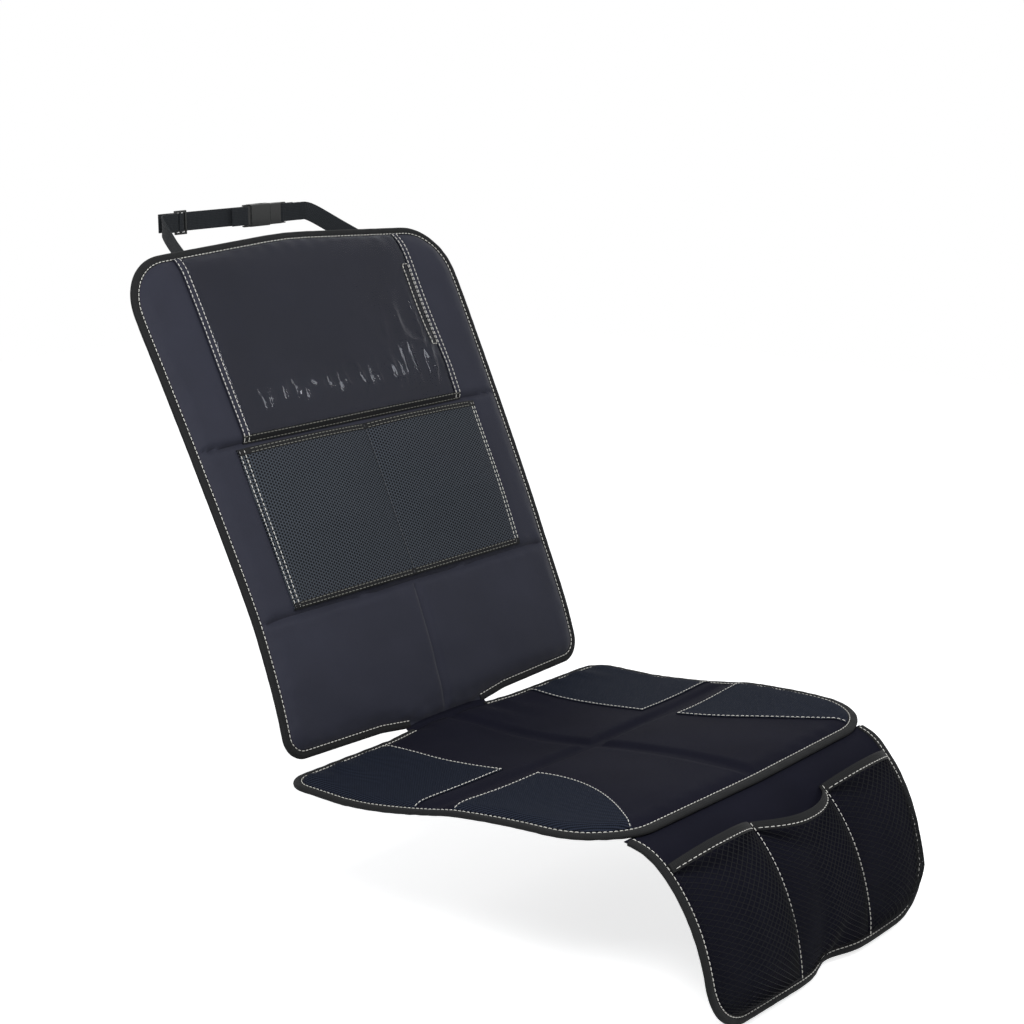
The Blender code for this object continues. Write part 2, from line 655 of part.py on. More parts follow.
def build_patches(paint, rows, columns):
    """Four hard-wearing corner patches, sewn on the face inside the binding."""
    border = inset(SEAT_EDGE, PATCH_EDGE)
    near_fold = PATCH_FOLD_MARGIN
    for side, sign in (("left", -1), ("right", 1)):
        outer = border[border[:, 0] * sign > PATCH_INNER_X + 0.004]
        rear = outer[outer[:, 1] > FOLD_V + near_fold + 0.004]
        front = outer[(outer[:, 1] < FOLD_V - near_fold - 0.004) & (outer[:, 0] * sign > PATCH_NOSE_X)]
        rear = rear[np.argsort(np.arctan2(rear[:, 1] + 0.10, rear[:, 0] * sign - 0.16))]
        front = front[np.argsort(np.arctan2(front[:, 1] + 0.27, front[:, 0] * sign - 0.16))]
        rear_inner = [(sign * PATCH_INNER_X, crossing_v(border, sign * PATCH_INNER_X, True)),
                      (sign * PATCH_INNER_X, FOLD_V + near_fold)]
        rear_side = [(sign * crossings_at(border, FOLD_V + near_fold).max(), FOLD_V + near_fold)]
        nose_v = crossing_v(border, sign * PATCH_NOSE_X, False)
        near_v = FOLD_V - near_fold
        nose_run = PATCH_NOSE_X - PATCH_INNER_X
        curve = [(sign * (PATCH_INNER_X + nose_run * t * t), near_v + (nose_v - near_v) * t)
                 for t in np.linspace(0, 1, 8)]
        front_side = [(sign * crossings_at(border, FOLD_V - near_fold).max(), FOLD_V - near_fold)]
        patch(f"corner_patch_rear_{side}", rear_inner + rear_side + list(rear), paint, rows, columns)
        patch(f"corner_patch_front_{side}", front_side + curve + list(front), paint, rows, columns)


def crossing_v(outline, x, rear):
    """Where an outline crosses one distance across the mat, at its rear or its front."""
    swapped = crossings_at(outline[:, ::-1], x)
    return swapped.max() if rear else swapped.min()


def patch(name, points, paint, rows, columns):
    points = np.array([tuple(point) for point in points])
    area = np.sum(points[:, 0] * np.roll(points[:, 1], -1) - points[:, 1] * np.roll(points[:, 0], -1))
    if area < 0:
        points = points[::-1]
    outline = points
    floor = SEAM_TOP + PATCH_STAND
    panel(name, outline, lambda x, v: floor + seat_rise(x, v),
          lambda x, v: floor + PATCH + seat_rise(x, v), paint["twill"], rows, columns, ramp_lines(SEAT_EDGE))


# Mesh pocket and tablet window on the back

FACE_TOP = SEAM_TOP + BACK_FOAM


def hump(share):
    """0 at both ends of a span and 1 in its middle, with a rounded crown."""
    return 1 - np.abs(2 * share - 1) ** 2.5


def pocket_lift(x, v):
    """Each half of the mesh pocket bellies out and keeps its mouth a little open."""
    across = np.clip(np.abs(x) / POCKET_HALF_BOTTOM, 0, 1)
    up = np.clip((v - POCKET_BOTTOM_V) / (POCKET_TOP_V - POCKET_BOTTOM_V), 0, 1)
    belly = POCKET_BELLY * hump(across) * np.clip(up * 2.2, 0, 1)
    under_hem = (TAPE + 2 * GAP) * np.clip((up - 0.80) * 8, 0, 1)
    return np.maximum(belly, under_hem)


def build_pocket(paint):
    base = FACE_TOP + GAP
    shares = np.linspace(0, 1, 7)
    ends = [POCKET_BOTTOM_V, POCKET_BOTTOM_V + POCKET_HEM, POCKET_TOP_V - POCKET_HEM, POCKET_TOP_V]
    between = ROWS[(ROWS > ends[1] + 0.002) & (ROWS < ends[2] - 0.002)]
    rows = np.sort(np.concatenate([ends, between]))
    half = np.interp(rows, (POCKET_BOTTOM_V, POCKET_TOP_V), (POCKET_HALF_BOTTOM, POCKET_HALF_TOP))
    for side, sign in (("left", -1), ("right", 1)):
        x = sign * (GAP + (half[:, None] - GAP) * shares)
        grid = np.stack([x, np.broadcast_to(rows[:, None], x.shape)], axis=-1)
        slab(f"mesh_pocket_{side}", grid, lambda x, v: base + pocket_lift(x, v),
             lambda x, v: base + POCKET_MESH + pocket_lift(x, v), paint["spacer_mesh"])
        across = sign * np.linspace(GAP, POCKET_HALF_TOP, 7)
        mouth = np.column_stack([across, np.full(7, POCKET_TOP_V + TAPE + GAP)])
        mouth = mouth[::-1] if sign > 0 else mouth
        fold_tape(f"pocket_mouth_hem_{side}", mouth, lambda x, v: base + POCKET_MESH / 2 + pocket_lift(x, v),
                  POCKET_MESH / 2 + GAP, POCKET_MESH / 2 + GAP, POCKET_HEM, paint["binding"])
        strip = np.stack([np.stack([across, np.full(7, v)], axis=-1)
                          for v in (POCKET_BOTTOM_V - 0.001, POCKET_BOTTOM_V + POCKET_HEM)])
        top = lambda x, v: base + POCKET_MESH + GAP + pocket_lift(x, v)
        slab(f"pocket_foot_hem_{side}", strip, top, lambda x, v: top(x, v) + TAPE, paint["binding"])


def film_lift(x, v):
    """The film stands off the face; its open right edge is held down only by the closure."""
    across = np.clip((x + WINDOW_HALF) / (2 * WINDOW_HALF), 0, 1)
    side = np.clip(across * 4, 0, 1)
    up = np.clip((v - WINDOW_BOTTOM_V) / (BACK_HEIGHT - 0.014 - WINDOW_BOTTOM_V), 0, 1)
    tall = np.clip(4.5 * up * (1 - up) * 1.4, 0, 1)
    middle = (CLOSURE_LOW_V + CLOSURE_HIGH_V) / 2
    reach = (CLOSURE_HIGH_V - CLOSURE_LOW_V) / 2
    pinch = np.clip(1.4 - np.abs(v - middle) / reach, 0, 1) * np.clip((across - 0.72) * 5, 0, 1)
    closed = 2 * CLOSURE_PILE + 3 * GAP
    return side * tall * (FILM_BELLY * (1 - pinch) + closed * pinch)


def face_top(x, v):
    return SEAM_TOP + back_rise(x, v)


def build_window(paint):
    foot_v = WINDOW_BOTTOM_V + 0.0008
    edge = WINDOW_HALF - WINDOW_SIDE_STRIP
    inner = edge - CLOSURE_WIDTH
    columns = np.array([-WINDOW_HALF, -edge, -0.11, -0.055, 0, 0.055, 0.11, inner, edge, WINDOW_HALF])
    closure_rows = np.linspace(CLOSURE_LOW_V, CLOSURE_HIGH_V, 4)
    own = [foot_v, WINDOW_BOTTOM_V + WINDOW_STRIP, WINDOW_BOTTOM_V + 0.03, *closure_rows]
    own += [WINDOW_TOP_V - 0.02, WINDOW_TOP_V]
    between = [v for v in ROWS if foot_v < v < WINDOW_TOP_V and np.abs(np.array(own) - v).min() > 0.002]
    rows = np.sort(np.array(own + between))
    x = np.broadcast_to(columns, (len(rows), len(columns)))
    grid = np.stack([x, np.broadcast_to(rows[:, None], x.shape)], axis=-1)
    floor = lambda x, v: FACE_TOP + GAP + film_lift(x, v)
    slab("tablet_window", grid, floor, lambda x, v: floor(x, v) + FILM, paint["film"])
    over = lambda x, v: floor(x, v) + FILM + GAP
    strip_rows = rows[rows < WINDOW_BOTTOM_V + WINDOW_STRIP + 0.0001]
    strip = np.stack([np.stack([columns, np.full(len(columns), v)], axis=-1) for v in strip_rows])
    slab("window_foot_strip", strip, over, lambda x, v: over(x, v) + TAPE, paint["polyester"])
    strip_rows = rows[rows > WINDOW_BOTTOM_V + WINDOW_STRIP + 0.001]
    strip_rows = np.concatenate([[WINDOW_BOTTOM_V + WINDOW_STRIP + GAP], strip_rows])
    for side, sign in (("left", -1), ("right", 1)):
        edges = np.array(sorted((sign * WINDOW_HALF, sign * (WINDOW_HALF - WINDOW_SIDE_STRIP))))
        x = np.broadcast_to(edges, (len(strip_rows), 2))
        side_grid = np.stack([x, np.broadcast_to(strip_rows[:, None], x.shape)], axis=-1)
        slab(f"window_side_strip_{side}", side_grid, over, lambda x, v: over(x, v) + TAPE, paint["polyester"])
    closure_rows = rows[(rows > CLOSURE_LOW_V - 0.0001) & (rows < CLOSURE_HIGH_V + 0.0001)]
    x = np.broadcast_to(np.array([inner, edge]), (len(closure_rows), 2))
    closure = np.stack([x, np.broadcast_to(closure_rows[:, None], x.shape)], axis=-1)
    loop_low = level_at(FACE_TOP + GAP)
    slab("closure_loop_strip", closure, loop_low, level_at(FACE_TOP + GAP + CLOSURE_PILE), paint["closure"])
    hook_low = lambda x, v: floor(x, v) - GAP - CLOSURE_PILE
    slab("closure_hook_strip", closure, hook_low, lambda x, v: floor(x, v) - GAP, paint["closure"])


# Front flap with its net pockets


def build_flap(paint):
    edge = inset(FLAP_EDGE, TAPE + GAP)
    rows = ROWS[(ROWS > FLAP_FOOT_V) & (ROWS < FLAP_TOP_V)]
    panel("flap_panel", edge, level_at(FLAP_LEVEL - CLOTH / 2), level_at(FLAP_LEVEL + CLOTH / 2),
          paint["polyester"], rows, FLAP_COLUMNS)
    hem = run_of(FLAP_EDGE, (-FLAP_TOP_HALF, -SEAT_DEPTH - 0.004), (FLAP_TOP_HALF, -SEAT_DEPTH - 0.004))
    hem = hem[hem[:, 1] < -SEAT_DEPTH - 0.002]
    fold_tape("flap_binding", hem, level_at(FLAP_LEVEL), CLOTH / 2 + TAPE_GAP, CLOTH / 2 + TAPE_GAP,
              TAPE_WIDTH, paint["binding"])
    net_pocket("left", None, (SEAM_LEFT_TOP_X, SEAM_LEFT_FOOT_X), NET_CELL_COLUMNS, 0.0, paint)
    net_pocket("middle", (SEAM_LEFT_TOP_X, SEAM_LEFT_FOOT_X), (SEAM_RIGHT_TOP_X, SEAM_RIGHT_FOOT_X),
               NET_CELL_COLUMNS - 1, MIDDLE_SAG, paint)
    net_pocket("right", (SEAM_RIGHT_TOP_X, SEAM_RIGHT_FOOT_X), None, NET_CELL_COLUMNS, 0.0, paint)


def net_pocket(side, left_seam, right_seam, columns, sag, paint):
    """A net wall between two seams or the flap's rim, full in the middle, with a taped mouth."""
    rim = inset(FLAP_EDGE, TAPE_WIDTH + NET_SEAM_GAP)
    foot_v = rim[:, 1].min() + 0.001
    under_mouth = (NET_TAPE_WIDTH + 0.002) / (NET_TOP_V - foot_v)
    rows_share = np.concatenate([[0], np.linspace(under_mouth, 1, NET_CELL_ROWS + 1)])
    columns_share = np.linspace(0, 1, columns + 1)

    def crown(u):
        return np.interp(u, columns_share, hump(columns_share))

    def spot(u, r):
        v_top = NET_TOP_V - sag * crown(u)
        v = v_top + (foot_v - v_top) * r
        reach = np.array([np.sort(crossings_at(rim, level)) for level in np.ravel(v)])
        seam_share = (NET_TOP_V - v) / (NET_TOP_V - foot_v)
        low = reach[:, 0].reshape(v.shape)
        high = reach[:, 1].reshape(v.shape)
        if left_seam is not None:
            low = np.interp(seam_share, (0, 1), left_seam) + NET_SEAM_GAP
        if right_seam is not None:
            high = np.interp(seam_share, (0, 1), right_seam) - NET_SEAM_GAP
        return np.stack([low + (high - low) * u, v], axis=-1)

    def lift(u, r):
        mouth = np.clip(1 - (r - under_mouth) * 3, 0, 1)
        full = NET_MOUTH * mouth + NET_BELLY * (1 - mouth)
        swell = full * crown(u) * np.clip((1 - r) * 3.2, 0, 1) ** 0.7
        under_tape = (TAPE + NET_TAPE_GAP) * np.clip(2 - r / under_mouth, 0, 1)
        return np.maximum(swell, under_tape)

    floor = FLAP_LEVEL + CLOTH / 2 + NET_STAND
    net_wall(f"net_pocket_{side}", spot, lift, columns_share, rows_share, floor, paint["net"])
    u = columns_share[::-1]
    mouth = spot(u, np.zeros(len(u))) + np.array([0, TAPE + GAP])
    stand = lift(u, np.zeros(len(u)))
    fold_tape(f"net_mouth_tape_{side}", mouth, lambda x, v: floor + NET / 2 + stand, NET / 2 + NET_TAPE_GAP,
              NET / 2 + NET_TAPE_GAP, NET_TAPE_WIDTH, paint["binding"], np.array([[0.0, -1.0]]))


def net_wall(name, spot, lift, us, rs, floor, material):
    """A plain row under the mouth tape, then square cells, each pierced by one diamond gap."""
    u, r = np.meshgrid(us, rs)
    corner_uv = np.stack([u, r], axis=-1)
    rows, columns = len(rs) - 1, len(us) - 1
    centre = (corner_uv[1:-1, :-1] + corner_uv[2:, 1:]) / 2
    half = (corner_uv[2:, 1:] - corner_uv[1:-1, :-1]) / 2 * NET_HOLE_SHARE
    tips = [centre + half * np.array(way) for way in ((0, -1), (1, 0), (0, 1), (-1, 0))]
    parameters = np.concatenate([corner_uv.reshape(-1, 2)] + [tip.reshape(-1, 2) for tip in tips])
    flat = spot(parameters[:, 0], parameters[:, 1])
    stand = floor + lift(parameters[:, 0], parameters[:, 1])
    top = place(flat[:, 0], flat[:, 1], stand + NET)
    bottom = place(flat[:, 0], flat[:, 1], stand)
    count = len(parameters)
    corners = (rows + 1) * (columns + 1)
    faces = []
    for i in range(rows):
        for j in range(columns):
            c = [i * (columns + 1) + j, i * (columns + 1) + j + 1, (i + 1) * (columns + 1) + j + 1,
                 (i + 1) * (columns + 1) + j]
            if i == 0:
                upper = [(c[0], c[1], c[2]), (c[0], c[2], c[3])]
                faces += upper + [tuple(index + count for index in reversed(face)) for face in upper]
                continue
            t = [corners + (k * (rows - 1) + i - 1) * columns + j for k in range(4)]
            for k in range(4):
                n = (k + 1) % 4
                upper = [(c[k], c[n], t[k]), (t[k], c[n], t[n])]
                faces += upper
                faces += [tuple(index + count for index in reversed(face)) for face in upper]
                faces.append((t[n], t[n] + count, t[k] + count, t[k]))
    border = [(0, j) for j in range(columns)] + [(i, columns) for i in range(rows)]
    border += [(rows, j) for j in range(columns, 0, -1)] + [(i, 0) for i in range(rows, 0, -1)]
    numbers = [i * (columns + 1) + j for i, j in border]
    for a, b in zip(numbers, numbers[1:] + numbers[:1]):
        faces.append((b, a, a + count, b + count))
    return oriented(add_object(name, np.vstack([top, bottom]), faces, material))


# Headrest strap


def smooth_path(points, count):
    """A smooth curve through a few points, read at even steps along it."""
    points = np.array(points, float)
    padded = np.vstack([2 * points[0] - points[1], points, 2 * points[-1] - points[-2]])
    pieces = []
    for a, b, c, d in zip(padded, padded[1:], padded[2:], padded[3:]):
        t = np.linspace(0, 1, 20, endpoint=False)[:, None]
        bent = (2 * a - 5 * b + 4 * c - d) * t**2 + (3 * b - a - 3 * c + d) * t**3
        pieces.append(0.5 * (2 * b + (c - a) * t + bent))
    dense = np.vstack(pieces + [points[-1:]])
    length = np.concatenate([[0], np.cumsum(np.linalg.norm(np.diff(dense, axis=0), axis=1))])
    even = np.linspace(0, length[-1], count)
    return np.column_stack([np.interp(even, length, dense[:, axis]) for axis in range(3)])


def ribbon(name, path, wide, material, width=WEBBING_WIDTH, thick=WEBBING):
    """Flat webbing along a path of world points; wide holds the direction of its width there."""
    travel = np.gradient(path, axis=0)
    travel /= np.linalg.norm(travel, axis=1)[:, None]
    wide = np.broadcast_to(wide, path.shape)
    wide = wide - travel * (wide * travel).sum(axis=1)[:, None]
    wide /= np.linalg.norm(wide, axis=1)[:, None]
    out = np.cross(travel, wide)
    ways = ((-1, -1), (1, -1), (1, 1), (-1, 1))
    corners = [path + wide * width / 2 * i + out * thick / 2 * j for i, j in ways]
    return tube(name, np.stack(corners, axis=1), material)


def bend(centre, radius, first, last, count=7):
    """Points of an arc in the strap's level plane, as distances across and to the rear."""
    angles = np.radians(np.linspace(first, last, count))
    return [(centre + radius * math.cos(a), radius * math.sin(a)) for a in angles]


def strap_points(pairs):
    return np.array([(x, STRAP_Y + y, STRAP_Z) for x, y in pairs])


def loop_round(bar, radius, sign, count=7):
    """Webbing turned half round an upright bar, open towards the strap's own end."""
    angles = np.radians(np.linspace(-90, 90, count))
    return strap_points([(bar + sign * radius * math.cos(a), radius * math.sin(a)) for a in angles])


def panel_spot(x, v=TAB_V):
    """A spot behind the back panel where webbing is sewn on."""
    behind = -(SEAM_TOP + WEBBING_STAND + WEBBING / 2)
    return place(x, v, behind)


def sewn_end(sign, start):
    """Webbing from the strap's line to its place behind the panel."""
    first = panel_spot(sign * TAB_END_X)
    second = panel_spot(sign * (TAB_X + 0.010))
    third = panel_spot(sign * TAB_X) + np.array([0, 0.0012, 0])
    lift = third + np.array([-sign * 0.012, 0.010, 0.007])
    near = start + np.array([sign * 0.014, -0.005, -0.002])
    return [first, second, third, lift, (lift + near) / 2 + np.array([0, 0.003, 0.001]), near, start]


def upright_share(path):
    """The webbing leans with the panel where it is sewn on and stands upright further in."""
    return np.clip((TAB_X - np.abs(path[:, :1])) / 0.030, 0, 1)


def build_strap(paint):
    upright = np.array([0.0, 0.0, 1.0])
    lean = place(0.0, TAB_V + 0.01, 0) - place(0.0, TAB_V, 0)
    lean /= np.linalg.norm(lean)
    loop = SLIDER_LOOP
    pitch = SLIDER_BAR + SLIDER_SLOT
    left_bar = SLIDER_X - pitch
    # Left tab: sewn behind the panel, looped round the slider's left bar
    start = np.array([left_bar - 0.010, STRAP_Y - loop, STRAP_Z])
    route = smooth_path(sewn_end(-1, start), 16)
    arc = loop_round(left_bar, loop, 1)
    back = strap_points([(left_bar - 0.009, loop)])
    path = np.vstack([route, arc, back])
    share = upright_share(path)
    ribbon("webbing_tab_left", path, lean * (1 - share) + upright * share, paint["webbing"])
    # Main webbing: looped round the socket's bar, wound over the slider's middle bar, free tail
    bar = BUCKLE_X + BUCKLE_BAR_IN
    socket_loop = BUCKLE_LOOP
    tail_level = loop + WEBBING + 2 * GAP
    pairs = [(bar - 0.022, -socket_loop), (bar - 0.008, -socket_loop)]
    pairs += bend(bar, socket_loop, -90, 90)
    pairs += [(bar - 0.008, socket_loop), (SLIDER_X + pitch + 0.010, tail_level)]
    pairs += [(SLIDER_X + pitch, loop + 0.0006)]
    slot = pitch / 2
    pairs += [(SLIDER_X + slot, 0.0), (SLIDER_X + 0.0012, -loop), (SLIDER_X - 0.0016, -loop)]
    pairs += [(SLIDER_X - slot + 0.0010, 0.0), (SLIDER_X - slot + 0.0010, loop + 0.0004)]
    pairs += [(left_bar, tail_level + 0.0014), (left_bar - 0.010, tail_level + 0.0016)]
    pairs += [(SLIDER_X - 0.026, tail_level + 0.001)]
    ribbon("webbing_left", strap_points(pairs), upright, paint["webbing"])
    # Right webbing: looped round the plug's bar and sewn behind the panel
    bar = BUCKLE_X + BUCKLE_LENGTH - BUCKLE_BAR_IN
    start = np.array([bar + 0.010, STRAP_Y - socket_loop, STRAP_Z])
    route = smooth_path(sewn_end(1, start + np.array([0.012, 0, 0])), 18)
    arc = loop_round(bar, socket_loop, -1)
    path = np.vstack([route, start[None], arc, strap_points([(bar + 0.018, socket_loop)])])
    share = upright_share(path)
    ribbon("webbing_right", path, lean * (1 - share) + upright * share, paint["webbing"])
    build_slider(paint)
    build_buckle(paint)


def box(name, low, high, material, bevel=0.0):
    """A block between two corners, measured from the strap's line, with its edges rounded by a bevel."""
    strap_line = np.array([0.0, STRAP_Y, STRAP_Z])
    low, high = np.array(low, float) + strap_line, np.array(high, float) + strap_line
    points = [np.where([i, j, k], high, low) for i in (0, 1) for j in (0, 1) for k in (0, 1)]
    faces = [(0, 1, 3, 2), (4, 6, 7, 5), (0, 4, 5, 1), (2, 3, 7, 6), (0, 2, 6, 4), (1, 5, 7, 3)]
    body = oriented(add_object(name, points, faces, material))
    if bevel:
        shape = bmesh.new()
        shape.from_mesh(body.data)
        bmesh.ops.bevel(shape, geom=list(shape.edges), offset=bevel, segments=2, profile=0.5, affect="EDGES")
        shape.to_mesh(body.data)
        shape.free()
    return body


def cut(body, cutter):
    """Take a cutter out of a body."""
    modifier = body.modifiers.new("cut", "BOOLEAN")
    modifier.operation = "DIFFERENCE"
    modifier.solver = "EXACT"
    modifier.object = cutter
    cutter.hide_render = True
    cutter.display_type = "WIRE"


def join(body, other):
    """Fuse another body into this one."""
    modifier = body.modifiers.new("join", "BOOLEAN")
    modifier.operation = "UNION"
    modifier.solver = "EXACT"
    modifier.object = other
    other.hide_render = True
    other.display_type = "WIRE"


def build_slider(paint):
    """The slider is a flat frame with three bars and two slots."""
    half_high = WEBBING_WIDTH / 2 + WEBBING_ROOM
    half_long = SLIDER_BAR + SLIDER_SLOT + SLIDER_BAR / 2
    half_thick = SLIDER_THICKNESS / 2
    top = half_high + SLIDER_RAIL
    frame = box("strap_slider", (SLIDER_X - half_long, -half_thick, -top),
                (SLIDER_X + half_long, half_thick, top), paint["plastic"], 0.0005)
    for number, side in enumerate((-1, 1)):
        middle = SLIDER_X + side * (SLIDER_BAR + SLIDER_SLOT) / 2
        cut(frame, box(f"slider_slot_{number}", (middle - SLIDER_SLOT / 2, -CUT_OVER, -half_high),
                       (middle + SLIDER_SLOT / 2, CUT_OVER, half_high), paint["plastic"]))


def bar_cuts(outer_x, way):
    """Cuts that leave one webbing bar at the end of a buckle half; way points out of that end."""
    half_thick = BUCKLE_THICKNESS / 2 + CUT_OVER
    half_high = BUCKLE_HEIGHT / 2 + CUT_OVER
    web_half = WEBBING_WIDTH / 2 + WEBBING_ROOM
    bar = outer_x - way * BUCKLE_BAR_IN
    waist = sorted((outer_x + way * CUT_OVER, outer_x - way * BUCKLE_WAIST_LENGTH))
    slot = sorted((bar - way * BUCKLE_BAR_HALF, outer_x - way * BUCKLE_SLOT_END))
    outside = sorted((bar + way * BUCKLE_BAR_HALF, outer_x + way * CUT_OVER))
    return {
        "waist_front": ((waist[0], -half_thick, -half_high), (waist[1], -BUCKLE_WAIST_HALF, half_high)),
        "waist_rear": ((waist[0], BUCKLE_WAIST_HALF, -half_high), (waist[1], half_thick, half_high)),
        "slot": ((slot[0], -CUT_OVER, -web_half), (slot[1], CUT_OVER, web_half)),
        "bar": ((outside[0], -CUT_OVER, -web_half), (outside[1], CUT_OVER, web_half)),
    }


def build_buckle(paint):
    """A side-release buckle: the plug's two sprung prongs snap into the socket's side windows."""
    half_high = BUCKLE_HEIGHT / 2
    half_thick = BUCKLE_THICKNESS / 2
    split = BUCKLE_X + SOCKET_LENGTH
    end = BUCKLE_X + BUCKLE_LENGTH
    cavity = BUCKLE_X + BUCKLE_CAVITY_IN
    inner = half_thick - BUCKLE_WALL
    inner_high = half_high - BUCKLE_WALL
    window_low = cavity + PRONG_WINDOW_IN
    window_high = window_low + PRONG_WINDOW_LENGTH
    over = CUT_OVER
    socket = box("buckle_socket", (BUCKLE_X, -half_thick, -half_high), (split, half_thick, half_high),
                 paint["plastic"], 0.0012)
    cuts = {
        "cavity": ((cavity, -inner, -inner_high), (split + over, inner, inner_high)),
        "windows": ((window_low, -inner, -half_high - over), (window_high, inner, half_high + over)),
        **bar_cuts(BUCKLE_X, -1),
    }
    for name, (low, high) in cuts.items():
        cut(socket, box(f"socket_{name}", low, high, paint["plastic"]))
    tongue = inner - BUCKLE_CLEAR
    root = split + BUCKLE_ROOT
    plug = box("buckle_plug", (split + BUCKLE_CLEAR, BUCKLE_STEP - half_thick, BUCKLE_STEP * 0.6 - half_high),
               (end, half_thick - BUCKLE_STEP, half_high - BUCKLE_STEP * 0.6), paint["plastic"], 0.0010)
    guide = tongue * 0.6
    pieces = {"guide": ((cavity + GUIDE_IN, -guide, -GUIDE_HALF), (root, guide, GUIDE_HALF))}
    arm_outer = inner_high - BUCKLE_CLEAR
    for side, sign in (("low", -1), ("high", 1)):
        arm = sorted((sign * arm_outer, sign * (arm_outer - PRONG_ARM)))
        catch = sorted((sign * (arm_outer - PRONG_ARM * 0.7), sign * (half_high - BUCKLE_CLEAR)))
        start = window_low + PRONG_TIP_IN
        stop = window_high - PRONG_CATCH_SHORT
        pieces[f"arm_{side}"] = ((start, -tongue, arm[0]), (root, tongue, arm[1]))
        pieces[f"catch_{side}"] = ((start, -tongue * 0.9, catch[0]), (stop, tongue * 0.9, catch[1]))
    for name, (low, high) in pieces.items():
        join(plug, box(f"plug_{name}", low, high, paint["plastic"]))
    for name, (low, high) in bar_cuts(end, 1).items():
        cut(plug, box(f"plug_cut_{name}", low, high, paint["plastic"]))


def main():
    clear_scene()
    paint = make_materials()
    build_back(paint)
    build_seat(paint)
    build_pocket(paint)
    build_window(paint)
    build_flap(paint)
    build_strap(paint)


main()
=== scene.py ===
# %% [markdown]
# # Dressing a car seat protector
# The protector is a quilted mat: a padded back panel with a mesh pocket and a clear tablet window, a
# thinner seat panel with four hard-wearing corners, and a front flap with three net pockets. Here its
# measured CAD model gets its cloth, thread, net and film. The first cells build tools, and then each
# piece is made in the order in which it would be sewn.

import math

import bpy
import numpy as np
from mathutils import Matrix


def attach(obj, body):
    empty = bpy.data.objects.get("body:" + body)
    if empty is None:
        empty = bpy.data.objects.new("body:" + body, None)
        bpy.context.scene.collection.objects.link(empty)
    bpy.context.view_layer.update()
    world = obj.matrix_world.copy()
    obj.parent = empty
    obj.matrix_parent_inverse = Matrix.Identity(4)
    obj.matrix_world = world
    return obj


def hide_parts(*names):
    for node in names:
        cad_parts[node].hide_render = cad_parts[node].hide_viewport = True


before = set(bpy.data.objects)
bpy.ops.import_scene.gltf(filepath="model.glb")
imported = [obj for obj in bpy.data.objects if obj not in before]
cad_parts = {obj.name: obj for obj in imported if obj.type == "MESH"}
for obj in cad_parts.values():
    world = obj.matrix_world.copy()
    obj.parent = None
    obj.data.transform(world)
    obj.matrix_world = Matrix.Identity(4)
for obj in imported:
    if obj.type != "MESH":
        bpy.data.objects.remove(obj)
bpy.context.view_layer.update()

# %% [markdown]
# ## Sizes
# The mat is described in its own coordinates, as a sewing pattern is: x runs across it, v runs along it
# and h stands off its visible side. v is 0 in the crease between back and seat, grows up the back and
# falls along the seat and down the flap. These are the sizes of the measured model, in metres.

# %% Sizes of the panels
BACK_HEIGHT = 0.553
BACK_FOOT_HALF = 0.2306
BACK_WAIST_HALF = 0.2272
BACK_TOP_HALF = 0.2376
BACK_WAIST_V = 0.150
BACK_SHOULDER_RUN = 0.012
BACK_TOP_CORNER = 0.062
BACK_FOOT_CORNER = 0.026
TOP_CROWN = 0.014
SEAT_DEPTH = 0.401
SEAT_HALF = 0.2525
SEAT_REAR_CORNER = 0.030
SEAT_FRONT_CORNER = 0.078
SEAT_DISH = 0.006
SLIT_INNER = 0.057
SLIT_HALF_GAP = 0.0075
SLIT_TAPER = 0.040
FLAP_LENGTH = 0.203
FLAP_TUCK = 0.012
FLAP_TOP_HALF = 0.200
FLAP_FOOT_HALF = 0.184
FLAP_CORNER = 0.058
FLAP_FOLD_X = 0.022
FLAP_FOLD_HALF = 0.030
FLAP_FOLD_DEPTH = 0.013
BACK_LEAN = ((0.0, 11), (0.18, 22), (0.40, 26), (0.62, 27), (0.90, 28.5), (1.0, 33))
SEAT_RISE = ((0.0, 1), (0.20, 1), (0.34, 5.5), (0.53, 10), (0.73, 6), (0.93, 0))
FLAP_DROP = ((0.0, 14), (0.12, 41), (0.32, 57), (0.56, 73), (0.80, 84), (1.0, 92))
CREASE_TURN = 0.0002
MITRE = 0.0021

# %% Sizes of the layers and of what is sewn on
CLOTH = 0.0007
BACK_FOAM = 0.0065
SEAT_FOAM = 0.0045
SEAM_TOP = 0.00085
PAD_BASE = 0.00015
FOAM_MARGIN = 0.0085
TAPE_WIDTH = 0.0100
TAPE_TOP = 0.0023
FLAP_LEVEL = -0.0031
FOLD_V = -0.5 * SEAT_DEPTH
FLAP_TOP_V = -SEAT_DEPTH + FLAP_TUCK
FLAP_FOOT_V = -SEAT_DEPTH - FLAP_LENGTH
NET_TOP_V = -SEAT_DEPTH - 0.033
POCKET_BOTTOM_V = 0.156
POCKET_TOP_V = 0.325
POCKET_HALF_BOTTOM = 0.175
POCKET_HALF_TOP = 0.180
POCKET_HEM = 0.0062
WINDOW_BOTTOM_V = 0.331
WINDOW_TOP_V = 0.5315
WINDOW_HALF = 0.1655
WINDOW_STRIP = 0.008
WINDOW_SIDE_STRIP = 0.009
CLOSURE_LOW_V = 0.398
CLOSURE_HIGH_V = 0.495
CLOSURE_WIDTH = 0.010
BACK_CHANNELS = (POCKET_BOTTOM_V - 0.006, POCKET_TOP_V + 0.007)
PATCH_INNER_X = 0.113
PATCH_FOLD_MARGIN = 0.022
PATCH_NOSE_X = 0.180
STITCH_DEPTH = 0.0082
SEAM_LEFT = (-0.058, -0.042)
SEAM_RIGHT = (0.066, 0.080)

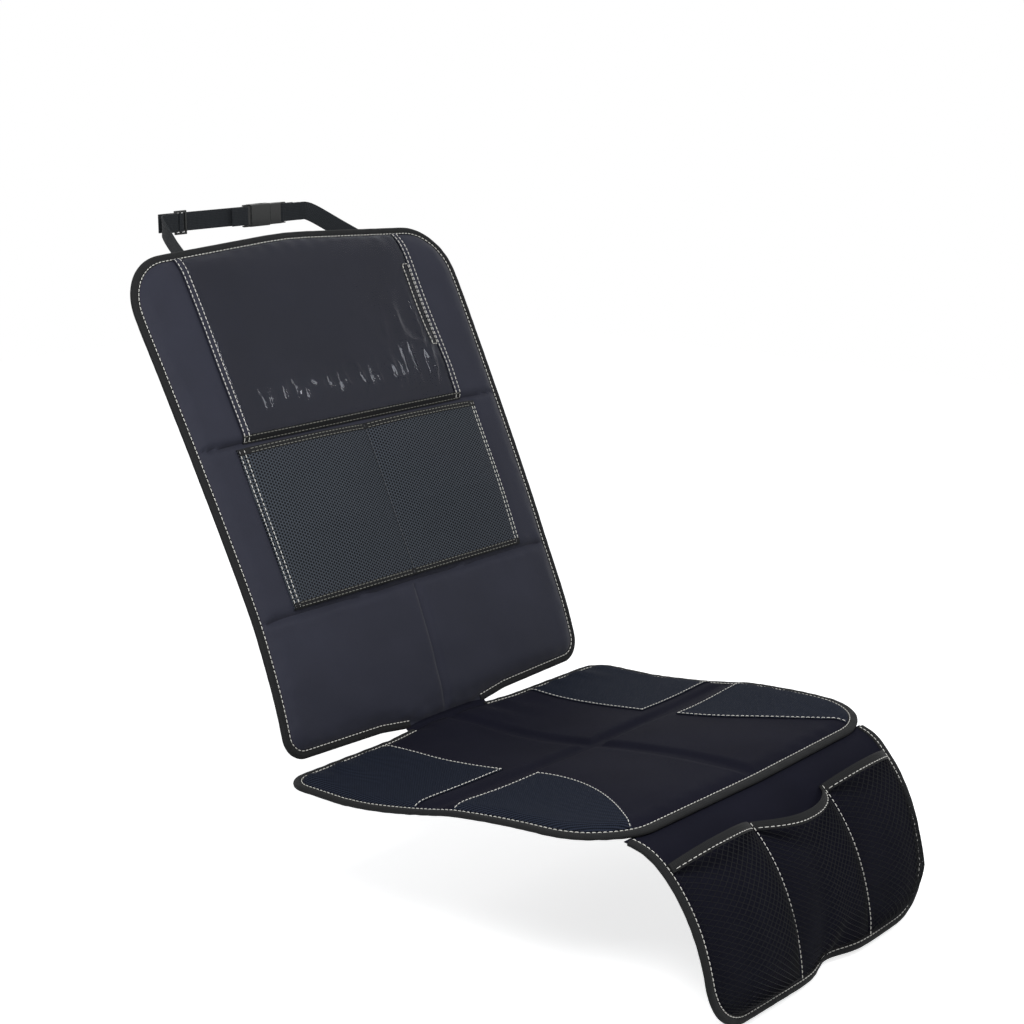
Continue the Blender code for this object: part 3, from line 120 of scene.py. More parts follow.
# %% [markdown]
# ## The camera
# The picture shows the mat from its left front and a little above. The lens and the place were worked
# out from the lengths of its edges, so that the render can be laid over the picture. It is set first,
# because every piece is judged through it.

# %% Camera
CAMERA_PLACE = (-1.548, -1.4009, 0.734)
CAMERA_TURN = -49.8
CAMERA_TILT = 13.71
CAMERA_LENS = 72.44

camera = bpy.data.objects.new("camera", bpy.data.cameras.new("camera"))
bpy.context.collection.objects.link(camera)
camera.location = CAMERA_PLACE
camera.rotation_euler = (math.radians(90 - CAMERA_TILT), 0, math.radians(CAMERA_TURN))
camera.data.lens = CAMERA_LENS
camera.data.sensor_width = 36
camera.data.clip_start = 0.05
bpy.context.scene.camera = camera

# %% [markdown]
# ## From the pattern to the seat
# A car seat bends the mat. The profile below turns its slope, read at a few places, into a curve: it
# adds up small steps along the slope. `place` then carries any point of the pattern onto the seat, so
# that every later piece can be drawn flat, as it was cut.


# %% Profile and placing
def mat_headings():
    """Distances along the mat and the headings there, in degrees: 0 runs to the rear, 90 runs up."""
    rows = [(-SEAT_DEPTH - share * FLAP_LENGTH, drop) for share, drop in reversed(FLAP_DROP)]
    rows += [(-share * SEAT_DEPTH, -rise) for share, rise in reversed(SEAT_RISE[1:])]
    rows += [(-CREASE_TURN, -SEAT_RISE[0][1]), (CREASE_TURN, 90 - BACK_LEAN[0][1])]
    rows += [(share * BACK_HEIGHT, 90 - lean) for share, lean in BACK_LEAN[1:]]
    return np.array(rows)


HEADINGS = mat_headings()


def mat_profile(step=0.0005):
    """The mat's centre line: each step runs along the heading, and the steps are added up."""
    v = np.concatenate([np.arange(0, HEADINGS[0, 0] - 0.01, -step)[::-1], np.arange(step, 0.57, step)])
    turn = np.radians(np.interp(v, *HEADINGS.T))
    middle = (turn[1:] + turn[:-1]) / 2
    y = np.concatenate([[0], np.cumsum(np.cos(middle) * np.diff(v))])
    z = np.concatenate([[0], np.cumsum(np.sin(middle) * np.diff(v))])
    crease = int(np.argmin(np.abs(v)))
    return v, y - y[crease], z - z[crease], turn


PROFILE = mat_profile()


def smooth_step(value, start, end):
    """0 before start, 1 after end, and 3t^2 - 2t^3 between them."""
    t = np.clip((value - start) / (end - start), 0, 1)
    return t * t * (3 - 2 * t)


def ground(x, v):
    """The seat is dished, x squared, over its middle; the flap has a bell-shaped fold near its centre."""
    dish = SEAT_DISH * (x / SEAT_HALF) ** 2 * np.clip(1 - np.abs(-v / SEAT_DEPTH - 0.56) / 0.34, 0, 1)
    down_flap = np.clip((-v - SEAT_DEPTH) / FLAP_LENGTH, 0, 1)
    fold = np.exp(-(((x - FLAP_FOLD_X) / FLAP_FOLD_HALF) ** 2))
    return dish - FLAP_FOLD_DEPTH * fold * down_flap


def place(x, v, h):
    """World points of the pattern: along the profile by v, then off it by h and the ground."""
    x, v, h = np.broadcast_arrays(np.asarray(x, float), v, h)
    out = h + ground(x, v)
    turn = np.interp(v, PROFILE[0], PROFILE[3])
    y = np.interp(v, PROFILE[0], PROFILE[1]) - np.sin(turn) * out
    z = np.interp(v, PROFILE[0], PROFILE[2]) + np.cos(turn) * out
    return np.stack([x, y, z], axis=-1)


print("top of the back", np.round(place(0, BACK_HEIGHT, 0), 4), "hem", np.round(place(0, FLAP_FOOT_V, 0), 4))

# %% [markdown]
# ## Outlines
# Each panel is cut with rounded corners. An outline is a short list of corners with their radii, and
# `rounded` swaps each corner for an arc. Only the right half is written, because the mat is symmetric.


# %% Outline tools
def rounded(corners, arc_step=4):
    """An outline through corners (x, v, radius): each corner gives way to an arc that touches both sides."""
    points = []
    for index, (x, v, radius) in enumerate(corners):
        corner = np.array([x, v])
        before = np.array(corners[index - 1][:2]) - corner
        after = np.array(corners[(index + 1) % len(corners)][:2]) - corner
        before /= np.linalg.norm(before)
        after /= np.linalg.norm(after)
        opening = math.acos(np.clip(np.dot(before, after), -1, 1))
        if radius == 0 or math.pi - opening < 0.01:
            points.append(corner)
            continue
        reach = radius / math.tan(opening / 2)
        centre = corner + (before + after) / np.linalg.norm(before + after) * radius / math.sin(opening / 2)
        start = corner + before * reach - centre
        end = corner + after * reach - centre
        first = math.atan2(start[1], start[0])
        turn = math.atan2(start[0] * end[1] - start[1] * end[0], np.dot(start, end))
        count = max(2, math.ceil(abs(math.degrees(turn)) / arc_step))
        angles = first + turn * np.arange(count + 1) / count
        points += list(centre + radius * np.column_stack([np.cos(angles), np.sin(angles)]))
    return np.array(points)


def mirrored(right_side):
    """A whole outline from its right side, which runs from the foot to the top."""
    return right_side + [(-x, v, radius) for x, v, radius in reversed(right_side) if x > 0]


def resample(line, count):
    """The same line with points at even distances along it."""
    length = np.concatenate([[0], np.cumsum(np.linalg.norm(np.diff(line, axis=0), axis=1))])
    even = np.linspace(0, length[-1], count)
    return np.column_stack([np.interp(even, length, line[:, axis]) for axis in range(line.shape[1])])


def inset(line, distance, closed=True):
    """A line moved to its left by a distance, along the mean of its two sides' normals."""
    before = line - np.roll(line, 1, axis=0)
    after = np.roll(line, -1, axis=0) - line
    if not closed:
        before[0], after[-1] = after[0], before[-1]
    before /= np.linalg.norm(before, axis=1)[:, None]
    after /= np.linalg.norm(after, axis=1)[:, None]
    inward = np.column_stack([-before[:, 1] - after[:, 1], before[:, 0] + after[:, 0]])
    inward /= np.linalg.norm(inward, axis=1)[:, None]
    facing = -before[:, 1] * inward[:, 0] + before[:, 0] * inward[:, 1]
    return line + inward * (distance / np.clip(facing, 0.5, 1))[:, None]


def run_of(outline, first, last):
    """The stretch of a closed outline, read every millimetre or so, from near first to near last."""
    outline = resample(np.vstack([outline, outline[:1]]), 2000)[:-1]
    start = int(np.argmin(np.linalg.norm(outline - np.array(first), axis=1)))
    end = int(np.argmin(np.linalg.norm(outline - np.array(last), axis=1)))
    return np.roll(outline, -start, axis=0)[: (end - start) % len(outline) + 1]


def edge_distance(x, v, outline):
    """Distance of each point to the nearest side of an outline, a few thousand points at a time."""
    points = np.column_stack([np.ravel(x), np.ravel(v)])
    along = np.roll(outline, -1, axis=0) - outline
    square = (along * along).sum(-1)
    nearest = []
    for part in np.array_split(points, max(1, len(points) // 4000)):
        reach = part[:, None] - outline[None]
        share = np.clip((reach * along).sum(-1) / square, 0, 1)
        nearest.append(np.linalg.norm(reach - share[..., None] * along, axis=-1).min(axis=1))
    return np.concatenate(nearest).reshape(np.shape(x))


def crossings_at(outline, v):
    """Where an outline crosses one distance along the mat, in order from left to right."""
    start, end = outline, np.roll(outline, -1, axis=0)
    hit = (start[:, 1] > v) != (end[:, 1] > v)
    share = (v - start[hit, 1]) / (end[hit, 1] - start[hit, 1])
    return np.sort(start[hit, 0] + share * (end[hit, 0] - start[hit, 0]))


# %% The three outlines
BACK_EDGE = rounded(mirrored([
    (SLIT_INNER, MITRE, 0),
    (SLIT_INNER + SLIT_TAPER, SLIT_HALF_GAP, 0.05),
    (BACK_FOOT_HALF, SLIT_HALF_GAP + 0.004, BACK_FOOT_CORNER),
    (BACK_WAIST_HALF, BACK_WAIST_V, 0.4),
    (BACK_TOP_HALF, BACK_HEIGHT - TOP_CROWN - BACK_TOP_CORNER - BACK_SHOULDER_RUN, 0),
    (BACK_TOP_HALF, BACK_HEIGHT - TOP_CROWN, BACK_TOP_CORNER),
    (0.0, BACK_HEIGHT, 0.5),
]))
SEAT_EDGE = rounded(mirrored([
    (0.0, -SEAT_DEPTH, 0),
    (SEAT_HALF - 0.020, -SEAT_DEPTH + 0.004, SEAT_FRONT_CORNER),
    (SEAT_HALF, -0.30 * SEAT_DEPTH, 0.3),
    (SEAT_HALF - 0.003, -SLIT_HALF_GAP - 0.001, SEAT_REAR_CORNER),
    (SLIT_INNER + SLIT_TAPER, -SLIT_HALF_GAP, 0.05),
    (SLIT_INNER, -MITRE, 0),
]))
FLAP_EDGE = rounded(mirrored([
    (0.0, FLAP_FOOT_V, 0),
    (FLAP_FOOT_HALF, FLAP_FOOT_V + 0.004, FLAP_CORNER),
    (FLAP_TOP_HALF - 0.006, NET_TOP_V, 0.2),
    (FLAP_TOP_HALF, FLAP_TOP_V, 0),
]))
print("outline points", len(BACK_EDGE), len(SEAT_EDGE), len(FLAP_EDGE))

# %% [markdown]
# ## Surfaces
# A panel is a grid stretched between the four sides of its outline, as a drumskin is: each inner point
# is a blend of the points facing it on the four sides. That keeps the rows parallel to the edges, where
# the sewing is. A cloth gets its real thickness: the grid is copied below itself and joined at the rim.


# %% Mesh tools
def grid_faces(rows, columns, wrap=False):
    """Quads between neighbouring points of a grid; wrap joins the last column to the first."""
    number = np.arange(rows * columns).reshape(rows, columns)
    if wrap:
        number = np.hstack([number, number[:, :1]])
    corners = (number[:-1, :-1], number[:-1, 1:], number[1:, 1:], number[1:, :-1])
    return np.stack(corners, axis=-1).reshape(-1, 4)


def make_piece(name, points, faces, pattern, material, sharp=50):
    """A mesh object from points and faces, turned outwards, with the pattern's x and v as its UV map."""
    points = np.asarray(points, float).reshape(-1, 3)
    quads = np.array([face for face in faces if len(face) == 4])
    a, b, c = (points[quads[:, k]] for k in (0, 1, 2))
    d = points[quads[:, 3]]
    volume = (a * np.cross(b, c)).sum() + (a * np.cross(c, d)).sum()
    if volume < 0:
        faces = [face[::-1] for face in faces]
    mesh = bpy.data.meshes.new(name)
    mesh.from_pydata(points, [], faces)
    corner = np.empty(len(mesh.loops), dtype=np.int32)
    mesh.loops.foreach_get("vertex_index", corner)
    uv = mesh.uv_layers.new(name="pattern")
    uv.uv.foreach_set("vector", np.asarray(pattern, float).reshape(-1, 2)[corner].ravel())
    mesh.shade_smooth()
    mesh.set_sharp_from_angle(angle=math.radians(sharp))
    mesh.materials.append(material)
    piece = bpy.data.objects.new(name, mesh)
    bpy.context.collection.objects.link(piece)
    return piece


def stretched(foot, right, top, left, columns, rows):
    """A grid between four sides: the blend along plus the blend across minus the four corners' blend."""
    foot, top = resample(foot, columns), resample(top, columns)
    left, right = resample(left, rows), resample(right, rows)
    u = np.linspace(0, 1, columns)[None, :, None]
    t = np.linspace(0, 1, rows)[:, None, None]
    along = foot[None] * (1 - t) + top[None] * t
    across = left[:, None] * (1 - u) + right[:, None] * u
    corners = (1 - t) * ((1 - u) * foot[0] + u * foot[-1]) + t * ((1 - u) * top[0] + u * top[-1])
    return along + across - corners


def panel_grid(outline, corners, columns, rows, margin=0.0016):
    """A stretched grid inside an outline; corners are near its foot right, top right, top left, foot left."""
    inner = inset(outline, margin)
    foot_right, top_right, top_left, foot_left = corners
    foot = run_of(inner, foot_left, foot_right)
    right = run_of(inner, foot_right, top_right)
    top = run_of(inner, top_right, top_left)[::-1]
    left = run_of(inner, top_left, foot_left)[::-1]
    return stretched(foot, right, top, left, columns, rows)


def layered(name, grid, low, high, material, sharp=50):
    """A closed cloth: the grid at height high, a copy at height low, and a rim between them."""
    x, v = grid[..., 0], grid[..., 1]
    rows, columns = x.shape
    count = rows * columns
    upper = grid_faces(rows, columns)
    number = np.arange(count).reshape(rows, columns)
    around = np.concatenate([number[0], number[1:, -1], number[-1, -2::-1], number[-2:0:-1, 0]])
    after = np.roll(around, -1)
    rim = np.stack([after, around, around + count, after + count], axis=-1)
    faces = np.vstack([upper, upper[:, ::-1] + count, rim])
    points = np.concatenate([place(x, v, high).reshape(-1, 3), place(x, v, low).reshape(-1, 3)])
    pattern = np.tile(grid.reshape(-1, 2), (2, 1))
    return make_piece(name, points, faces.tolist(), pattern, material, sharp)


def tube(name, rings, pattern, material, sharp=50):
    """A section carried along a path: rings of points, joined one to the next and capped at both ends."""
    count, size = rings.shape[:2]
    faces = grid_faces(count, size, wrap=True).tolist()
    faces += [list(range(size)), [(count - 1) * size + k for k in reversed(range(size))]]
    return make_piece(name, rings, faces, pattern, material, sharp)


# %% [markdown]
# ## Cloth is never quite flat
# `ripples` adds a few sine waves of one wavelength that run in different directions. It gives the slow
# swells of a stuffed panel and the small puckers along a seam, the same on every run.


# %% Ripples
def ripples(x, v, wavelength, seed, count=7):
    """The sum of some sine waves near one wavelength, in fanned directions, scaled to about -1 to 1."""
    picks = np.random.default_rng(seed)
    total = np.zeros(np.broadcast(x, v).shape)
    for _ in range(count):
        angle = picks.uniform(0, math.pi)
        turn = 2 * math.pi / (wavelength * picks.uniform(0.75, 1.35))
        total += np.sin(turn * (x * math.cos(angle) + v * math.sin(angle)) + picks.uniform(0, 2 * math.pi))
    return total / math.sqrt(count) / 1.3


# %% [markdown]
# ## Finishes
# The mat is all dark blue-black cloth, so its finishes differ in weave and sheen more than in colour.
# Only the seat cloth differs in colour: it is painted darker, as shade.
# Each weave is a node group that reads the pattern's own coordinates: its threads then follow the cloth
# round every bend. The groups put out a height for the bump and a shade for the colour.


# %% Node tools
def add_math(tree, operation, first, second=None, third=None):
    """One math node: numbers go into its sockets and sockets are linked."""
    node = tree.nodes.new("ShaderNodeMath")
    node.operation = operation
    for socket, value in zip(node.inputs, (first, second, third)):
        if value is None:
            continue
        if isinstance(value, (int, float)):
            socket.default_value = value
        else:
            tree.links.new(value, socket)
    return node.outputs[0]


def new_group(name, inputs):
    """An empty node group with a vector input, some number inputs, and the outputs Height and Shade."""
    tree = bpy.data.node_groups.new(name, "ShaderNodeTree")
    tree.interface.new_socket("Pattern", in_out="INPUT", socket_type="NodeSocketVector")
    for label, value in inputs.items():
        socket = tree.interface.new_socket(label, in_out="INPUT", socket_type="NodeSocketFloat")
        socket.default_value = value
    for label in ("Height", "Shade"):
        tree.interface.new_socket(label, in_out="OUTPUT", socket_type="NodeSocketFloat")
    enter = tree.nodes.new("NodeGroupInput")
    leave = tree.nodes.new("NodeGroupOutput")
    split = tree.nodes.new("ShaderNodeSeparateXYZ")
    tree.links.new(enter.outputs["Pattern"], split.inputs[0])
    return tree, enter, leave, split.outputs[0], split.outputs[1]


def turns(tree, distance, pitch):
    """The angle of a wave that repeats at each pitch."""
    return add_math(tree, "MULTIPLY", add_math(tree, "DIVIDE", distance, pitch), 2 * math.pi)


def plain_weave():
    """Threads over and under: the height is sin(x) sin(v), and a soft cloud varies the shade."""
    tree, enter, leave, x, v = new_group("plain weave", {"Pitch": 0.0014})
    across = add_math(tree, "SINE", turns(tree, x, enter.outputs["Pitch"]))
    along = add_math(tree, "SINE", turns(tree, v, enter.outputs["Pitch"]))
    weave = add_math(tree, "MULTIPLY_ADD", add_math(tree, "MULTIPLY", across, along), 0.5, 0.5)
    cloud = tree.nodes.new("ShaderNodeTexNoise")
    cloud.inputs["Scale"].default_value = 14
    cloud.inputs["Detail"].default_value = 5
    tree.links.new(enter.outputs["Pattern"], cloud.inputs["Vector"])
    shade = add_math(tree, "ADD", add_math(tree, "MULTIPLY", weave, 0.35), cloud.outputs["Fac"])
    tree.links.new(weave, leave.inputs["Height"])
    tree.links.new(shade, leave.inputs["Shade"])
    return tree


def twill_weave():
    """Diagonal ribs: a wave of x + v, cut across by the threads of a finer wave of x."""
    tree, enter, leave, x, v = new_group("twill weave", {"Pitch": 0.0026})
    rib = add_math(tree, "SINE", turns(tree, add_math(tree, "ADD", x, v), enter.outputs["Pitch"]))
    half = add_math(tree, "DIVIDE", enter.outputs["Pitch"], 2)
    thread = add_math(tree, "SINE", turns(tree, add_math(tree, "SUBTRACT", x, v), half))
    low_rib = add_math(tree, "MULTIPLY", rib, 0.35)
    low_thread = add_math(tree, "MULTIPLY", thread, 0.15)
    height = add_math(tree, "ADD", add_math(tree, "ADD", low_rib, low_thread), 0.5)
    tree.links.new(height, leave.inputs["Height"])
    tree.links.new(height, leave.inputs["Shade"])
    return tree


def honeycomb():
    """Spacer mesh: three waves, a sixth of a turn apart, add up to round dimples in a honeycomb."""
    tree, enter, leave, x, v = new_group("honeycomb mesh", {"Pitch": 0.0040})
    slanted = add_math(tree, "MULTIPLY", v, math.sqrt(3) / 2)
    half_x = add_math(tree, "MULTIPLY", x, 0.5)
    waves = [x, add_math(tree, "ADD", half_x, slanted), add_math(tree, "SUBTRACT", half_x, slanted)]
    total = None
    for wave in waves:
        one = add_math(tree, "COSINE", turns(tree, wave, enter.outputs["Pitch"]))
        total = one if total is None else add_math(tree, "ADD", total, one)
    hole = tree.nodes.new("ShaderNodeMapRange")
    hole.interpolation_type = "SMOOTHSTEP"
    hole.inputs["From Min"].default_value = -1.1
    hole.inputs["From Max"].default_value = 1.2
    hole.inputs["To Min"].default_value = 1
    hole.inputs["To Max"].default_value = 0
    tree.links.new(total, hole.inputs["Value"])
    tree.links.new(hole.outputs[0], leave.inputs["Height"])
    tree.links.new(hole.outputs[0], leave.inputs["Shade"])
    return tree


def tape_ribs():
    """Woven tape: low ribs run across it, a wave of the distance along its edge."""
    tree, enter, leave, x, v = new_group("tape ribs", {"Pitch": 0.0016})
    rib = add_math(tree, "SINE", turns(tree, x, enter.outputs["Pitch"]))
    fine = add_math(tree, "SINE", turns(tree, v, enter.outputs["Pitch"]))
    mixed = add_math(tree, "ADD", rib, add_math(tree, "MULTIPLY", fine, 0.5))
    height = add_math(tree, "MULTIPLY_ADD", mixed, 0.33, 0.5)
    tree.links.new(height, leave.inputs["Height"])
    tree.links.new(height, leave.inputs["Shade"])
    return tree


WEAVES = {"plain": plain_weave(), "twill": twill_weave(), "mesh": honeycomb(), "ribs": tape_ribs()}


# %% Cloth finishes
def cloth_finish(name, dark, light, roughness, weave, pitch, bump, sheen=0.3, specular=0.3):
    """A cloth: its weave's shade mixes a dark and a light colour, and its height makes the bump."""
    finish = bpy.data.materials.new(name)
    finish.use_nodes = True
    tree = finish.node_tree
    shader = tree.nodes["Principled BSDF"]
    pattern = tree.nodes.new("ShaderNodeUVMap")
    pattern.uv_map = "pattern"
    group = tree.nodes.new("ShaderNodeGroup")
    group.node_tree = WEAVES[weave]
    group.inputs["Pitch"].default_value = pitch
    tree.links.new(pattern.outputs[0], group.inputs["Pattern"])
    mix = tree.nodes.new("ShaderNodeMix")
    mix.data_type = "RGBA"
    mix.inputs[6].default_value = (*dark, 1)
    mix.inputs[7].default_value = (*light, 1)
    tree.links.new(group.outputs["Shade"], mix.inputs[0])
    tree.links.new(mix.outputs[2], shader.inputs["Base Color"])
    dent = tree.nodes.new("ShaderNodeBump")
    dent.inputs["Strength"].default_value = bump
    dent.inputs["Distance"].default_value = pitch * 0.3
    tree.links.new(group.outputs["Height"], dent.inputs["Height"])
    tree.links.new(dent.outputs[0], shader.inputs["Normal"])
    shader.inputs["Roughness"].default_value = roughness
    shader.inputs["Specular IOR Level"].default_value = specular
    shader.inputs["Sheen Weight"].default_value = sheen
    shader.inputs["Sheen Roughness"].default_value = 0.4
    return finish


def plain_finish(name, colour, roughness, specular=0.5):
    """A finish of one colour."""
    finish = bpy.data.materials.new(name)
    finish.use_nodes = True
    shader = finish.node_tree.nodes["Principled BSDF"]
    shader.inputs["Base Color"].default_value = (*colour, 1)
    shader.inputs["Roughness"].default_value = roughness
    shader.inputs["Specular IOR Level"].default_value = specular
    return finish


POLYESTER = cloth_finish("polyester", (0.0095, 0.0102, 0.0170), (0.0190, 0.0203, 0.0330), 0.70,
                         "plain", 0.0014, 0.30, sheen=0.08, specular=0.20)
# Painted shade: the seat cloth is the back's polyester at about half its colour, so the seat, the crease and
# the flap look shaded.
SEAT_CLOTH_PAINTED_SHADE = cloth_finish("seat cloth painted darker as shade", (0.0040, 0.0041, 0.0078), (0.0080, 0.0082, 0.0150), 0.75,
                          "plain", 0.0014, 0.25, sheen=0.01, specular=0.04)
TWILL = cloth_finish("twill", (0.0010, 0.0016, 0.0030), (0.0210, 0.0260, 0.0420), 0.75,
                     "twill", 0.0048, 0.50, sheen=0.0, specular=0.04)
SPACER = cloth_finish("spacer mesh", (0.0020, 0.0025, 0.0035), (0.047, 0.055, 0.068), 0.80,
                      "mesh", 0.0030, 1.0, sheen=0.03, specular=0.12)
BINDING = cloth_finish("binding tape", (0.0060, 0.0063, 0.0068), (0.0120, 0.0125, 0.0135), 0.75,
                       "ribs", 0.0016, 0.4, sheen=0.03, specular=0.15)
BACKING = cloth_finish("non-slip backing", (0.012, 0.012, 0.014), (0.030, 0.030, 0.033), 0.85,
                       "mesh", 0.0060, 0.6)
WEBBING = cloth_finish("webbing", (0.007, 0.008, 0.010), (0.018, 0.021, 0.024), 0.70,
                       "ribs", 0.0018, 0.7, sheen=0.03, specular=0.15)
NETTING = plain_finish("net thread", (0.007, 0.0075, 0.009), 0.75, 0.15)
THREAD = plain_finish("white thread", (0.62, 0.61, 0.57), 0.60, 0.3)
HEM_THREAD = plain_finish("grey thread", (0.17, 0.17, 0.15), 0.60, 0.3)
DARK_THREAD = plain_finish("dark thread", (0.05, 0.052, 0.058), 0.60, 0.3)
PILE = plain_finish("closure pile", (0.012, 0.012, 0.014), 0.95, 0.1)
PLASTIC = plain_finish("buckle plastic", (0.012, 0.013, 0.013), 0.34)


# %% [markdown]
# ## The relief of the quilting
# Foam lifts each panel between its seams, and every seam pulls the cloth down to the backing. A real
# pad rises steeply beside a seam and then flattens, like 1 - (1 - t)^2.4. Puckers run along the seams
# and a slow swell crosses the boards, which keeps the light on the panel alive.


# %% Relief
def pillow(distance, start, reach):
    """Rises from 0 at start to 1 at start + reach: steep beside the seam, flat further in."""
    return 1 - (1 - np.clip((distance - start) / reach, 0, 1)) ** 2.4


def seam_dip(distance, width):
    """A bell-shaped dip beside a line of stitches, 1 on the line."""
    return np.exp(-((distance / width) ** 2))


def foam_start(x, v):
    """Where the foam begins, from an edge: inside the binding, but nearly at the crease in the middle."""
    in_crease = 1 - smooth_step(np.abs(x), SLIT_INNER - 0.022, SLIT_INNER + 0.008)
    return FOAM_MARGIN - (FOAM_MARGIN - 0.0025) * in_crease * (1 - smooth_step(np.abs(v), 0.010, 0.030))


def soft_low(first, second, blend=0.07):
    """The lower of two lifts, with the corner between them rounded off."""
    return (first + second - np.sqrt((first - second) ** 2 + blend**2) + blend * 0.4) / 2


def pocket_half(v):
    """Half the pocket's width, which grows a little from its foot to its mouth."""
    return np.interp(v, (POCKET_BOTTOM_V, POCKET_TOP_V), (POCKET_HALF_BOTTOM, POCKET_HALF_TOP))


def back_top(x, v):
    """Height of the back's face: foam between the binding, two channels across and one below the pocket."""
    edge = edge_distance(x, v, BACK_EDGE)
    lift = pillow(edge, foam_start(x, v), 0.024)
    lower, upper = BACK_CHANNELS
    lift = soft_low(lift, 0.05 + 0.95 * pillow(np.abs(v - lower), 0.0, 0.011))
    lift = soft_low(lift, 0.05 + 0.95 * pillow(np.abs(v - upper), 0.0, 0.011))
    centre = 0.05 + 0.95 * pillow(np.abs(x), 0.0, 0.011)
    blend = smooth_step(v, lower - 0.004, lower)
    lift = soft_low(lift, centre * (1 - blend) + blend)
    beside_pocket = seam_dip(np.abs(x) - pocket_half(v) + 0.003, 0.006)
    beside_window = seam_dip(np.abs(x) - WINDOW_HALF + 0.004, 0.006)
    dip = np.where(v > upper, beside_window, np.where(v > lower, beside_pocket, 0.0))
    seams = np.exp(-(((edge - 0.015) / 0.008) ** 2)) + np.exp(-(((np.abs(v - lower) - 0.008) / 0.006) ** 2))
    puckers = 0.00050 * ripples(x, v, 0.024, 3) * np.clip(seams, 0, 1)
    swell = 0.0009 * ripples(x, v, 0.17, 5) * smooth_step(edge, 0.012, 0.05)
    swell = swell + 0.0009 * ripples(x * 0.7, v * 1.3, 0.055, 7) * np.exp(-(v / 0.075) ** 2)
    return SEAM_TOP + BACK_FOAM * lift * (1 - 0.22 * dip) + (puckers + swell) * np.clip(lift * 2, 0, 1)


def seat_top(x, v):
    """Height of the seat's face: four foam boards with a fold along and another across."""
    edge = edge_distance(x, v, SEAT_EDGE)
    lift = pillow(edge, foam_start(x, v), 0.017)
    lift = soft_low(lift, 0.08 + 0.92 * pillow(np.abs(x), 0.005, 0.012))
    lift = soft_low(lift, 0.08 + 0.92 * pillow(np.abs(v - FOLD_V), 0.006, 0.012))
    seams = np.exp(-(((edge - 0.014) / 0.008) ** 2))
    puckers = 0.0004 * ripples(x, v, 0.026, 13) * seams
    swell = 0.0011 * ripples(x, v, 0.15, 15) * smooth_step(edge, 0.012, 0.05)
    swell = swell + 0.0016 * ripples(x * 1.3, v * 0.6, 0.050, 17) * np.exp(-(v / 0.06) ** 2)
    return SEAM_TOP + SEAT_FOAM * lift + (puckers + swell) * np.clip(lift * 2, 0, 1)


# %% [markdown]
# ## Padded panels and their backings
# The visible cloth and the foam under it are one padded piece here, because nobody can see between
# them. The backing is a plain sheet behind it, held to it by the binding.

# %% Back and seat panels
BACK_CORNERS = ((0.223, 0.019), (0.219, 0.521), (-0.219, 0.521), (-0.223, 0.019))
SEAT_CORNERS = ((0.222, -0.378), (0.2425, -0.0175), (-0.2425, -0.0175), (-0.222, -0.378))

back_grid = panel_grid(BACK_EDGE, BACK_CORNERS, 172, 202)
height = back_top(back_grid[..., 0], back_grid[..., 1])
back_face = layered("back_padding", back_grid, PAD_BASE, height, POLYESTER)
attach(back_face, "root")
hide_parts("back_face", "foam_back_top", "foam_back_middle", "foam_back_bottom_left",
            "foam_back_bottom_right")

seat_grid = panel_grid(SEAT_EDGE, SEAT_CORNERS, 186, 152)
height = seat_top(seat_grid[..., 0], seat_grid[..., 1])
# The seat's darker cloth is painted shade.
seat_face = layered("seat_padding", seat_grid, PAD_BASE, height, SEAT_CLOTH_PAINTED_SHADE)
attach(seat_face, "root")
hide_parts("seat_face", "foam_seat_front_left", "foam_seat_front_right", "foam_seat_rear_left",
            "foam_seat_rear_right")
print("faces of the two pads", len(back_face.data.polygons), len(seat_face.data.polygons))

# %% [markdown]
# ## The crease
# Back and seat are cut as one between the two slits, so the cloth runs through the crease without an
# edge. A narrow saddle of it joins the two pads: its section is a curve with three control points, one
# on each pad and one down in the crease, and it narrows towards the slits.

# %% Crease cloth
CREASE_HALF = SLIT_INNER + 0.005
CREASE_ON_SEAT = 0.010
CREASE_ON_BACK = 0.007
CREASE_LIFT = 0.0001
CREASE_FLOOR = 0.0016

x, t = np.meshgrid(np.linspace(-CREASE_HALF, CREASE_HALF, 60), np.linspace(0, 1, 16), indexing="ij")
narrow = 1 - 0.4 * smooth_step(np.abs(x), SLIT_INNER - 0.025, CREASE_HALF)
on_seat = place(x, -CREASE_ON_SEAT * narrow, seat_top(x, -CREASE_ON_SEAT * narrow) + CREASE_LIFT)
on_back = place(x, CREASE_ON_BACK * narrow, back_top(x, CREASE_ON_BACK * narrow) + CREASE_LIFT)
outward = np.array([0, -math.sqrt(0.5), math.sqrt(0.5)])
bottom = place(x, 0.0, 0.0) + outward * CREASE_FLOOR
share = t[..., None]
curve = on_seat * (1 - share) ** 2 + bottom * 2 * share * (1 - share) + on_back * share**2
rings = np.concatenate([curve + outward * CLOTH / 2, (curve - outward * CLOTH / 2)[:, ::-1]], axis=1)
flat_v = (t - 0.5) * (CREASE_ON_SEAT + CREASE_ON_BACK)
pattern = np.stack([np.hstack([x, x]), np.hstack([flat_v, flat_v[:, ::-1]])], axis=-1)
# The crease takes the seat cloth, whose darker colour is painted shade.
crease = tube("crease_cloth", rings, pattern, SEAT_CLOTH_PAINTED_SHADE)
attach(crease, "root")


# %% [markdown]
# ## Binding
# A tape is folded over every edge and sewn through, so it is thick and round at the edge and pressed
# flat where the stitches run. That section is carried round the outline. The tape breathes a little
# along its length, because the stitches pull it in.


